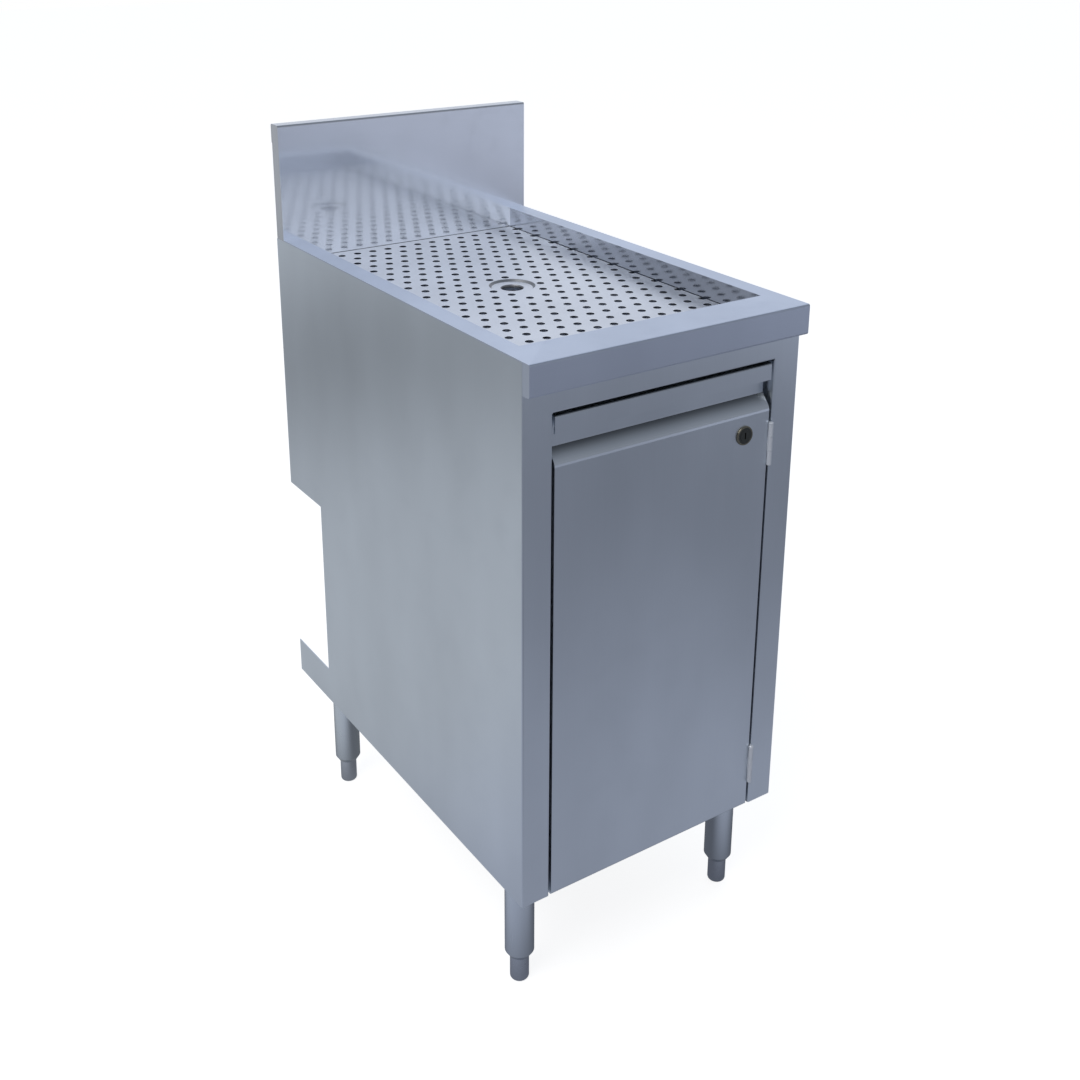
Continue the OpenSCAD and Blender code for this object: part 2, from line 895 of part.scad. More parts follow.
// Pull: back wall, top and strip, folded across the whole width. Its wall is welded to the skin's
// upper edge. The sides are closed only behind that wall, so the pull is open at both ends.
module door_pull() {
    section = [
        [pull_d, pull_seam_z],
        [pull_d, door_z1 - sheet_t],
        [sheet_t, door_z1 - sheet_t],
        [sheet_t, door_z1 - pull_strip_h]
    ];
    color(steel) from_door_face() {
        along_x(door_x0, door_x1) {
            polygon(folded(section, -sheet_t, bend_r));
            // Hem behind the strip's lower edge
            translate([sheet_t - eps, door_z1 - pull_strip_h])
                square([sheet_t, pull_hem]);
        }
        for (x0 = [door_x0, door_x1 - sheet_t])
            block([x0, pull_d, pull_seam_z], [x0 + sheet_t, liner_y, door_z1]);
    }
}

// Door liner: closes the back of the door and the top behind the pull
module door_liner() {
    color(steel) from_door_face()
        difference() {
            union() {
                block([door_x0, liner_y, door_z0], [door_x1, door_t, door_z1]);
                block([door_x0 + sheet_t, pull_d + sheet_t, door_z1 - sheet_t],
                      [door_x1 - sheet_t, liner_y + eps, door_z1]);
            }
            bar_y(lock_x, 0, door_t + 1, lock_z, lock_body_d + 2 * screw_gap);
        }
}

// Hinge leaf about the pin's axis: a plate on the side given by its sign, and its knuckles
// given as pairs of lowest and highest points
module hinge_leaf(side, knuckles) {
    plate_x0 = side > 0 ? door_gap_hinge / 2 - leaf_t : -door_gap_hinge / 2;
    color(bright_steel)
        difference() {
            union() {
                block([plate_x0, leaf_y0, -hinge_h / 2], [plate_x0 + leaf_t, leaf_y0 + leaf_w, hinge_h / 2]);
                for (k = knuckles) {
                    translate([0, 0, k[0]])
                        cylinder(h = k[1] - k[0], d = knuckle_d);
                    block([plate_x0, 0, k[0]], [plate_x0 + leaf_t, leaf_y0 + eps, k[1]]);
                }
            }
            translate([0, 0, -hinge_h])
                cylinder(h = 2 * hinge_h, d = pin_d + 2 * running_gap);
            for (s = [-1, 1])
                bar_x(plate_x0 - 1, plate_x0 + leaf_t + 1, hinge_screw_y, s * hinge_screw_z,
                      hinge_screw_d + 2 * screw_gap);
        }
}

module at_hinge(z) {
    from_front()
        translate([pin_x, pin_y, z])
            children();
}

frame_knuckles = [[-hinge_h / 2, -hinge_h / 2 + knuckle_h], [hinge_h / 2 - knuckle_h, hinge_h / 2]];
door_knuckles = [[-knuckle_h / 2, knuckle_h / 2]];

module hinge_frame_leaf_upper() at_hinge(upper_hinge_z) hinge_leaf(1, frame_knuckles);
module hinge_frame_leaf_lower() at_hinge(lower_hinge_z) hinge_leaf(1, frame_knuckles);
module hinge_door_leaf_upper() at_hinge(upper_hinge_z) hinge_leaf(-1, door_knuckles);
module hinge_door_leaf_lower() at_hinge(lower_hinge_z) hinge_leaf(-1, door_knuckles);

// Hinge pin with a rounded head at each end of the barrel
module hinge_pin() {
    head = 1;
    color(bright_steel) {
        translate([0, 0, -hinge_h / 2])
            cylinder(h = hinge_h, d = pin_d);
        for (s = [0, 1])
            mirror([0, 0, s])
                translate([0, 0, hinge_h / 2])
                    cylinder(h = head, d1 = knuckle_d, d2 = knuckle_d - 2 * head);
    }
}

module hinge_pin_upper() at_hinge(upper_hinge_z) hinge_pin();
module hinge_pin_lower() at_hinge(lower_hinge_z) hinge_pin();

// Flat-headed screw along X: the head lies on the leaf and the shank runs to the side
// given by its sign
module hinge_screw(side, leaf_face) {
    shank = leaf_t + sheet_t + 4;
    head_x = side > 0 ? leaf_face - hinge_head_t : leaf_face;
    shank_x = side > 0 ? leaf_face : leaf_face - shank;
    bar_x(head_x, head_x + hinge_head_t, hinge_screw_y, 0, hinge_screw_d * 1.8);
    bar_x(shank_x - eps, shank_x + shank + eps, hinge_screw_y, 0, hinge_screw_d);
}

module hinge_screws(side) {
    color(bright_steel)
        for (z = hinge_screw_heights())
            at_hinge(z)
                hinge_screw(side, side * (door_gap_hinge / 2 - leaf_t));
}

module hinge_screws_frame() hinge_screws(1);
module hinge_screws_door() hinge_screws(-1);

// Magnetic catch: a block behind the header's lip, hung from its own flange
catch_face_y = face_y + door_t + catch_plate_t + rest_gap;
catch_flange_t = 1.5;
catch_z1 = header_lip_z - rest_gap;
catch_screw_d = 3;
catch_screw_x = [catch_x - 14, catch_x + 14];
catch_screw_z = header_lip_z + 6;

module catch_magnet() {
    color(plastic_grey) from_front()
        difference() {
            union() {
                block([catch_x - catch_w / 2, jamb_y, catch_z1],
                      [catch_x + catch_w / 2, jamb_y + catch_flange_t, opening_z1 - 1]);
                block([catch_x - catch_w / 2, catch_face_y, catch_z1 - catch_plate_h],
                      [catch_x + catch_w / 2, catch_face_y + catch_d, catch_z1]);
            }
            for (x = catch_screw_x)
                bar_y(x, jamb_y - 1, jamb_y + catch_flange_t + 1, catch_screw_z,
                      catch_screw_d + 2 * screw_gap);
        }
}

module catch_screws() {
    color(bright_steel) from_front()
        for (x = catch_screw_x) {
            bar_y(x, lip_y, jamb_y + catch_flange_t + eps, catch_screw_z, catch_screw_d);
            bar_y(x, jamb_y + catch_flange_t, jamb_y + catch_flange_t + 1.6, catch_screw_z,
                  2 * catch_screw_d);
        }
}

module catch_plate() {
    color(bright_steel) from_door_face()
        block([catch_x - catch_w / 2 + 3, door_t, catch_z1 - catch_plate_h + 1],
              [catch_x + catch_w / 2 - 3, door_t + catch_plate_t, catch_z1 - 1]);
}

// Keeper: a plate that hangs behind the header's lip and steps back to meet the cam
module lock_keeper() {
    step_z = keeper_z0 + keeper_step;
    section = [
        [jamb_y, opening_z1],
        [jamb_y, step_z + keeper_low_y - keeper_t - jamb_y],
        [keeper_low_y - keeper_t, step_z],
        [keeper_low_y - keeper_t, keeper_z0]
    ];
    color(steel) from_front()
        along_x(lock_x - keeper_w / 2, lock_x + keeper_w / 2)
            polygon(folded(section, keeper_t, keeper_bend_r));
}

// Lock housing: bezel and body, bored for the plug
module lock_housing() {
    color(dark_metal) from_door_face()
        difference() {
            union() {
                translate([lock_x, 0, lock_z])
                    rotate([90, 0, 0])
                        cylinder(h = bezel_t, d1 = bezel_d, d2 = bezel_d - 1.6);
                bar_y(lock_x, -eps, lock_body_l, lock_z, lock_body_d);
            }
            bar_y(lock_x, -bezel_t - 1, lock_body_l + 1, lock_z, plug_d + 2 * running_gap);
        }
}

module lock_nut() {
    nut_h = 3.5;
    color(bright_steel) from_door_face()
        translate([lock_x, door_t + nut_h, lock_z])
            rotate([90, 0, 0])
                difference() {
                    cylinder(h = nut_h, d = lock_body_d + 7, $fn = 6);
                    translate([0, 0, -1])
                        cylinder(h = nut_h + 2, d = lock_body_d + 2 * running_gap);
                }
}

// Plug: a round core with a key slot in front and a square tail for the cam
module lock_plug() {
    proud = 0.3;
    slot_w = 1.8;
    slot_h = 8;
    color(dark_metal) from_door_face()
        difference() {
            union() {
                bar_y(lock_x, -bezel_t - proud, cam_y, lock_z, plug_d);
                block([lock_x - plug_tail / 2, cam_y - eps, lock_z - plug_tail / 2],
                      [lock_x + plug_tail / 2, cam_y + cam_t, lock_z + plug_tail / 2]);
            }
            block([lock_x - slot_w / 2, -bezel_t - proud - 1, lock_z - slot_h / 2],
                  [lock_x + slot_w / 2, 6, lock_z + slot_h / 2]);
            bar_y(lock_x, cam_y - 12, cam_y + cam_t + 1, lock_z, 3 + 2 * screw_gap);
        }
}

// Cam: points to the door's free side when the lock is open
module lock_cam() {
    color(bright_steel) from_door_face()
        difference() {
            union() {
                bar_y(lock_x, cam_y, cam_y + cam_t, lock_z, cam_w);
                block([lock_x - cam_l, cam_y, lock_z - cam_w / 2 + 1],
                      [lock_x, cam_y + cam_t, lock_z + cam_w / 2 - 1]);
            }
            block([lock_x - plug_tail / 2, cam_y - 1, lock_z - plug_tail / 2],
                  [lock_x + plug_tail / 2, cam_y + cam_t + 1, lock_z + plug_tail / 2]);
        }
}

module lock_cam_screw() {
    color(bright_steel) from_door_face() {
        bar_y(lock_x, cam_y + cam_t, cam_y + cam_t + 2, lock_z, 11);
        bar_y(lock_x, cam_y - 10, cam_y + cam_t + eps, lock_z, 3);
    }
}

drainboard_top();
backsplash();
perforated_insert();
side_panel_left();
side_panel_right();
header();
back_panel();
bottom_shelf();
mid_shelf();
shelf_support_left();
shelf_support_right();
base_channel_front();
base_channel_rear();
leg_plates();
leg_screws();
leg_tube_front_left();
leg_tube_front_right();
leg_tube_rear_left();
leg_tube_rear_right();
foot_front_left();
foot_front_right();
foot_rear_left();
foot_rear_right();
drain_flange();
drain_strainer();
drain_gasket();
drain_locknut();
drain_tailpiece();
drain_slip_nut();
door_skin();
door_pull();
door_liner();
hinge_frame_leaf_upper();
hinge_frame_leaf_lower();
hinge_door_leaf_upper();
hinge_door_leaf_lower();
hinge_pin_upper();
hinge_pin_lower();
hinge_screws_frame();
hinge_screws_door();
catch_magnet();
catch_screws();
catch_plate();
lock_keeper();
lock_housing();
lock_nut();
lock_plug();
lock_cam();
lock_cam_screw();
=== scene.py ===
"""Underbar drainboard in brushed stainless steel: its finishes, fine trim, studio and camera.

The CAD nodes keep their places and shapes. Each sub-assembly dresses its own nodes and adds what is
too fine for the solids: punched edges of the holes, dark as painted shade, the lock's beige rim,
painted as a highlight, screw heads, weld beads and the threads of the feet's stems.
"""

import json
import logging
import math
from dataclasses import dataclass, field
from enum import Enum

import bmesh
import bpy
from mathutils import Matrix, Vector

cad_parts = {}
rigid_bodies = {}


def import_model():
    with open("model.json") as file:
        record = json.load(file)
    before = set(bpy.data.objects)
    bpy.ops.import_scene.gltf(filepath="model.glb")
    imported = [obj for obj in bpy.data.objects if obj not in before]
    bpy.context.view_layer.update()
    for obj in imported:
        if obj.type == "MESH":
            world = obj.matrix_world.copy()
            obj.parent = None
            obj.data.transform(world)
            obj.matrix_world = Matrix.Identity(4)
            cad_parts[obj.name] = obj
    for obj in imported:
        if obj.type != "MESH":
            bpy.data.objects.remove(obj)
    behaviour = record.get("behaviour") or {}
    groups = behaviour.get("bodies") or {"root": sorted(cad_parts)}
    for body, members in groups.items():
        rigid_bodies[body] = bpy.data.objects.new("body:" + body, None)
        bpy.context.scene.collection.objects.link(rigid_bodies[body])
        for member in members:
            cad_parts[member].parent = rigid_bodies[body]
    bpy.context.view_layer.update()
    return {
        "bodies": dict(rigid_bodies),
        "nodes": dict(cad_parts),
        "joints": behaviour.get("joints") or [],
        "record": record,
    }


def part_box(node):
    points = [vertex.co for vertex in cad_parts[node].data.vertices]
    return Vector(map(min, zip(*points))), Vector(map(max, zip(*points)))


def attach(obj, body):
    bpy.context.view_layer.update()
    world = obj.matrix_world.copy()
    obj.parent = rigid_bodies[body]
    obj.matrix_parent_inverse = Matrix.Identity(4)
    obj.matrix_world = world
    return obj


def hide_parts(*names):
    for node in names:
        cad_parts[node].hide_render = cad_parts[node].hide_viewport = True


Colour = tuple[float, float, float, float]
Material = bpy.types.Material
Outputs = bpy.types.NodeOutputs
Socket = bpy.types.NodeSocket
Tree = bpy.types.NodeTree
Triple = tuple[float, float, float]
Pair = tuple[float, float]

MM = 0.001
WIDTH_MM = 381.0
DEPTH_MM = 614.4
CORNERS = [f"{end}_{side}" for end in ("front", "rear") for side in ("left", "right")]
LEG_TUBES = [f"leg_tube_{corner}" for corner in CORNERS]
FEET = [f"foot_{corner}" for corner in CORNERS]
WHITE = (1.0, 1.0, 1.0, 1.0)
# Kinds of node used most, and the setting of a soft range
MATH = "ShaderNodeMath"
VECTOR_MATH = "ShaderNodeVectorMath"
MAP_RANGE = "ShaderNodeMapRange"
MIX = "ShaderNodeMix"
SMOOTH = {"interpolation_type": "SMOOTHSTEP"}
log = logging.getLogger("drainboard")


def linear(hex_colour: str) -> Colour:
    """Turn an sRGB hex colour, such as "#aab0b8", to linear RGBA with alpha 1."""
    values = [int(hex_colour[i : i + 2], 16) / 255 for i in (1, 3, 5)]
    return (*[v / 12.92 if v <= 0.04045 else ((v + 0.055) / 1.055) ** 2.4 for v in values], 1.0)


def shade(colour: Colour, factor: float) -> Colour:
    """Linear colour made lighter or darker by a factor."""
    return (*[min(c * factor, 1.0) for c in colour[:3]], 1.0)


@dataclass
class Graph:
    """Node tree under construction."""

    tree: Tree

    def add(self, kind: str, inputs: dict | list | tuple = (), **settings: object) -> Outputs:
        """Add a node with its settings, constant inputs and incoming links.

        Args:
            kind: Blender's name of the node type.
            inputs: constant, output socket or list of output sockets of each input, by the input's
                name or index, or in their order.
            settings: attributes of the node itself.

        Returns:
            Output sockets of the new node.
        """
        node = self.tree.nodes.new(kind)
        for name, value in settings.items():
            setattr(node, name, value)
        for key, value in inputs.items() if isinstance(inputs, dict) else enumerate(inputs):
            sources = value if isinstance(value, list) else [value]
            if isinstance(sources[0], Socket):
                for source in sources:
                    self.tree.links.new(source, node.inputs[key])
            else:
                node.inputs[key].default_value = value
        return node.outputs


@dataclass
class MaterialGraph(Graph):
    """Node material under construction, with its object coordinates at hand."""

    name: str
    tree: Tree = field(init=False)
    material: Material = field(init=False)
    place: Socket = field(init=False)

    def __post_init__(self) -> None:
        """Make the material with no nodes but its coordinates."""
        self.material = bpy.data.materials.new(self.name)
        self.material.use_nodes = True
        self.tree = self.material.node_tree
        self.tree.nodes.clear()
        self.place = self.add("ShaderNodeTexCoord")["Object"]

    def finish(self, surface: Socket) -> Material:
        """Material, closed with that surface."""
        self.add("ShaderNodeOutputMaterial", {"Surface": surface})
        return self.material


def fine_grained(
    name: str,
    noise: dict[str, float],
    colours: tuple[Colour, Colour],
    roughness: Pair,
    relief: dict[str, float],
    surface: dict[str, float],
) -> Material:
    """Make a material whose colour, roughness and relief all follow one noise.

    Args:
        name: name of the material.
        noise: inputs of the noise by name.
        colours: linear colours at its low and high end.
        roughness: roughness at its low and high end.
        relief: strength and distance of its bump by name.
        surface: constant inputs of the surface by name.

    Returns:
        The finished material.
    """
    graph = MaterialGraph(name)
    grain = graph.add("ShaderNodeTexNoise", {"Vector": graph.place, **noise})[0]
    mixed = {0: grain, 6: colours[0], 7: colours[1]}
    inputs = {
        "Base Color": graph.add(MIX, mixed, data_type="RGBA")[2],
        "Roughness": graph.add(MAP_RANGE, (grain, 0.0, 1.0, *roughness))[0],
        "Normal": graph.add("ShaderNodeBump", {"Height": grain, **relief})[0],
        **surface,
    }
    return graph.finish(graph.add("ShaderNodeBsdfPrincipled", inputs)[0])


class Grain(Enum):
    """Way in which the brushed lines of a sheet run."""

    CROSSWISE = (1.0, 0.03, 0.02)
    DEPTHWISE = (0.03, 1.0, 0.02)
    UPRIGHT = (0.03, 0.02, 1.0)

    def scale(self, width: float, length: float) -> tuple[float, ...]:
        """Scale of a noise whose lines have that width and length."""
        return tuple(1 / length if a > 0.5 else 1 / width for a in self.value)


@dataclass(frozen=True)
class BrushedSteel:
    """Stainless sheet brushed with a belt: fine lines, which smear what it mirrors across them."""

    name: str
    colour: str
    grain: Grain
    roughness: float
    anisotropy: float
    # A buffed sheet mirrors sharply over its lines
    polish: float = 0.0
    polish_roughness: float = 0.06
    polish_ior: float = 2.6
    # Grain of the side rims, where it differs from the front's
    mitre_grain: Grain | None = None
    # Painted shade of narrow folds: tone, and how far a face's normal follows the axis in and out
    fold_shade_tone: float = 1.0
    fold_axis: int = 2
    fold_reach: Pair = (0.1, 0.5)
    # Painted shade of the pull's ramp: heights it spans, where it starts and how dark it gets
    crease: Pair | None = None
    crease_start: float = 0.1
    crease_shade: float = 0.74
    ramp_facing: Pair = (0.05, 0.6)
    # Pan's right inner wall: smoother than the rest, pale to mirror rays as a painted reflection
    smooth_wall_painted_pale: bool = False
    wall_facing: float = -0.7
    wall_roughness: float = 0.12
    wall_painted_reflection_colour: str = "#eff5ff"
    # Belt lines are about 0.1 mm wide, too fine to show, so they are drawn coarser
    line_width_mm: float = 0.5
    line_length_mm: float = 90.0
    line_depth_mm: float = 0.002
    line_strength: float = 0.3
    mottle_mm: float = 140.0
    mottle_rise: float = 0.45
    mark_mm: float = 35.0
    mark_dullness: float = 0.04
    colour_swing: float = 0.015
    mottle_swing: float = 0.06
    roughness_swing: float = 0.02
    # Values of the noises between which colour and roughness change
    tint_reach: Pair = (0.27, 0.73)
    line_reach: Pair = (0.3, 0.7)
    mark_reach: Pair = (0.5, 0.75)

    def facing(self, graph: Graph, axis: int) -> Socket:
        """Component of the surface's normal along an axis."""
        normal = graph.add("ShaderNodeNewGeometry")["Normal"]
        return graph.add("ShaderNodeSeparateXYZ", (normal,))[axis]

    def along_sides(self, graph: MaterialGraph) -> Socket:
        """Mask that is 1 on the side rims and 0 on the front, parted on the mitre of the corners.

        Args:
            graph: the material's nodes.

        Returns:
            Output socket of the mask.
        """
        axes = graph.add("ShaderNodeSeparateXYZ", (graph.place,))
        inward = graph.add(MATH, (axes[0],), operation="ABSOLUTE")[0]
        reach = graph.add(MATH, (inward, axes[1]), operation="ADD")[0]
        mitre = (WIDTH_MM / 2 - DEPTH_MM / 2) * MM
        return graph.add(MATH, (reach, mitre), operation="GREATER_THAN")[0]

    def lines(self, graph: MaterialGraph, grain: Grain) -> tuple[Socket, Socket]:
        """Brushed lines one way, and the tangent across them.

        Args:
            graph: the material's nodes.
            grain: way in which the lines run.

        Returns:
            Output sockets of the lines and of the tangent.
        """
        scale = grain.scale(self.line_width_mm * MM, self.line_length_mm * MM)
        stretched = graph.add("ShaderNodeMapping", {"Vector": graph.place, "Scale": scale})[0]
        noise = {"Vector": stretched, "Scale": 1.0, "Detail": 3.0, "Roughness": 0.6}
        sides = (graph.add("ShaderNodeNewGeometry")["Normal"], grain.value)
        across = graph.add(VECTOR_MATH, sides, operation="CROSS_PRODUCT")[0]
        return graph.add("ShaderNodeTexNoise", noise)[0], across

    def shades(self, graph: MaterialGraph) -> list[Socket]:
        """Painted shade on folds, on faces turned off the axis, and on the ramp by its crease.

        Args:
            graph: the material's nodes.

        Returns:
            Output sockets of the tones.
        """
        tones = []
        # Painted shade on faces turned away from the fold axis
        if self.fold_shade_tone < 1.0:
            side = self.facing(graph, self.fold_axis)
            flat = graph.add(MATH, (side,), operation="ABSOLUTE")[0]
            fade = (flat, *self.fold_reach, self.fold_shade_tone, 1.0)
            tones.append(graph.add(MAP_RANGE, fade, **SMOOTH)[0])
        # Painted shade: the ramp darkens toward its crease, under the pull's strip
        if self.crease:
            low, high = self.crease
            height = graph.add("ShaderNodeSeparateXYZ", (graph.place,))[2]
            rise = (height, low + self.crease_start * (high - low), high, 0.0, self.crease_shade)
            upward = (self.facing(graph, 2), *self.ramp_facing, 0.0, 1.0)
            both = [graph.add(MAP_RANGE, fade, **SMOOTH)[0] for fade in (rise, upward)]
            ramp_shade = graph.add(MATH, both, operation="MULTIPLY")[0]
            tones.append(graph.add(MATH, (1.0, ramp_shade), operation="SUBTRACT")[0])
        return tones

    def inner_wall(self, graph: MaterialGraph) -> Socket:
        """Mask that is 1 on the pan's inner wall on the right.

        Args:
            graph: the material's nodes.

        Returns:
            Output socket of the mask.
        """
        turned = (self.facing(graph, 0), self.wall_facing)
        leftward = graph.add(MATH, turned, operation="LESS_THAN")[0]
        side = graph.add("ShaderNodeSeparateXYZ", (graph.place,))[0]
        inner = graph.add(MATH, (leftward, side), operation="MULTIPLY")[0]
        return graph.add(MATH, (inner, 0.0), operation="GREATER_THAN")[0]

    def tint(self, graph: MaterialGraph, lines: Socket) -> Socket:
        """Colour: lines, slow mill mottling, painted shade, and the wall's painted reflection.

        Args:
            graph: the material's nodes.
            lines: the brushed lines.

        Returns:
            Output socket of the colour.
        """
        squeeze = {"Vector": graph.place, "Scale": (1.0, 1.0, self.mottle_rise)}
        slow = graph.add("ShaderNodeMapping", squeeze)[0]
        size = 1 / (self.mottle_mm * MM)
        noise = {"Vector": slow, "Scale": size, "Detail": 2.0, "Roughness": 0.6}
        mottle = graph.add("ShaderNodeTexNoise", noise)[0]
        weight = self.mottle_swing / self.colour_swing
        share = graph.add(MATH, (mottle, weight), operation="MULTIPLY")[0]
        both = graph.add(MATH, (lines, share), operation="ADD")[0]
        low, high = self.tint_reach
        ends = (both, low * (1 + weight), high * (1 + weight))
        tone = graph.add(MAP_RANGE, ends)[0]
        base, swing = linear(self.colour), self.colour_swing + self.mottle_swing
        mixed = {0: tone, 6: shade(base, 1 - swing), 7: shade(base, 1 + swing)}
        colour = graph.add(MIX, mixed, data_type="RGBA")[2]
        for tone in self.shades(graph):
            scaled = {0: colour, "Scale": tone}
            colour = graph.add(VECTOR_MATH, scaled, operation="SCALE")[0]
        if self.smooth_wall_painted_pale:
            # To a mirror ray the wall is pale, so that it hands its light on to the insert
            pale = (self.inner_wall(graph), graph.add("ShaderNodeLightPath")["Is Glossy Ray"])
            mask = graph.add(MATH, pale, operation="MULTIPLY")[0]
            mixed = {0: mask, 6: colour, 7: linear(self.wall_painted_reflection_colour)}
            colour = graph.add(MIX, mixed, data_type="RGBA")[2]
        return colour

    def dullness(self, graph: MaterialGraph, lines: Socket) -> Socket:
        """Roughness of the sheet: its lines, faint hand marks and the wall no belt can reach.

        Args:
            graph: the material's nodes.
            lines: the brushed lines.

        Returns:
            Output socket of the roughness.
        """
        noise = {"Scale": 1 / (self.mark_mm * MM), "Detail": 4.0, "Distortion": 0.4}
        noise |= {"Vector": graph.place, "Roughness": 0.6}
        marks = graph.add("ShaderNodeTexNoise", noise)[0]
        low, high = self.roughness - self.roughness_swing, self.roughness + self.roughness_swing
        fades = (
            (lines, *self.line_reach, low, high),
            (marks, *self.mark_reach, 0.0, self.mark_dullness),
        )
        both = [graph.add(MAP_RANGE, fade)[0] for fade in fades]
        rough = graph.add(MATH, both, operation="ADD")[0]
        if self.smooth_wall_painted_pale:
            mixed = {0: self.inner_wall(graph), 2: rough, 3: self.wall_roughness}
            rough = graph.add(MIX, mixed)[0]
        return rough

    def make(self) -> Material:
        """Build the material from its lines, colour and roughness.

        Returns:
            The finished material.
        """
        graph = MaterialGraph(self.name)
        lines, across = self.lines(graph, self.grain)
        if self.mitre_grain:
            mask = self.along_sides(graph)
            side_lines, side_across = self.lines(graph, self.mitre_grain)
            lines = graph.add(MIX, {0: mask, 2: lines, 3: side_lines})[0]
            tangents = {0: mask, 4: across, 5: side_across}
            across = graph.add(MIX, tangents, data_type="VECTOR")[1]
        relief = {"Strength": self.line_strength, "Distance": self.line_depth_mm * MM}
        inputs = {
            "Base Color": self.tint(graph, lines),
            "Roughness": self.dullness(graph, lines),
            "Normal": graph.add("ShaderNodeBump", {"Height": lines, **relief})[0],
            "Tangent": across,
            "Metallic": 1.0,
            "Anisotropic": self.anisotropy,
            "Coat Weight": self.polish,
            "Coat Roughness": self.polish_roughness,
            "Coat IOR": self.polish_ior,
        }
        return graph.finish(graph.add("ShaderNodeBsdfPrincipled", inputs)[0])


@dataclass(frozen=True)
class TurnedMetal:
    """Metal without brushed lines, such as zinc plate or turned bar: even sheen, faint wear."""

    name: str
    colour: str
    worn_colour: str
    roughness: float
    wear_mm: float = 4.0
    metallic: float = 1.0
    roughness_swing: float = 0.25

    def make(self) -> Material:
        """Build the material with slow wear in colour and roughness.

        Returns:
            The finished material.
        """
        return fine_grained(
            self.name,
            {"Scale": 1 / (self.wear_mm * MM), "Detail": 3.0, "Roughness": 0.6},
            (linear(self.colour), linear(self.worn_colour)),
            tuple(self.roughness * (1 + s * self.roughness_swing) for s in (-1, 1)),
            {"Strength": 0.2, "Distance": 0.02 * MM},
            {"Metallic": self.metallic},
        )


@dataclass(frozen=True)
class MouldedPolymer:
    """Moulded rubber or plastic: matt, with the fine grain of its mould."""

    name: str
    colour: str
    roughness: float
    grain_mm: float = 0.5
    ior: float = 1.5
    tone_swing: float = 0.15
    roughness_swing: float = 0.08

    def make(self) -> Material:
        """Build the material with a fine moulded grain.

        Returns:
            The finished material.
        """
        return fine_grained(
            self.name,
            {"Scale": 1 / (self.grain_mm * MM), "Detail": 2.0},
            tuple(shade(linear(self.colour), 1 + s * self.tone_swing) for s in (-1, 1)),
            (self.roughness - self.roughness_swing, self.roughness + self.roughness_swing),
            {"Strength": 0.3, "Distance": 0.05 * MM},
            {"Metallic": 0.0, "IOR": self.ior},
        )


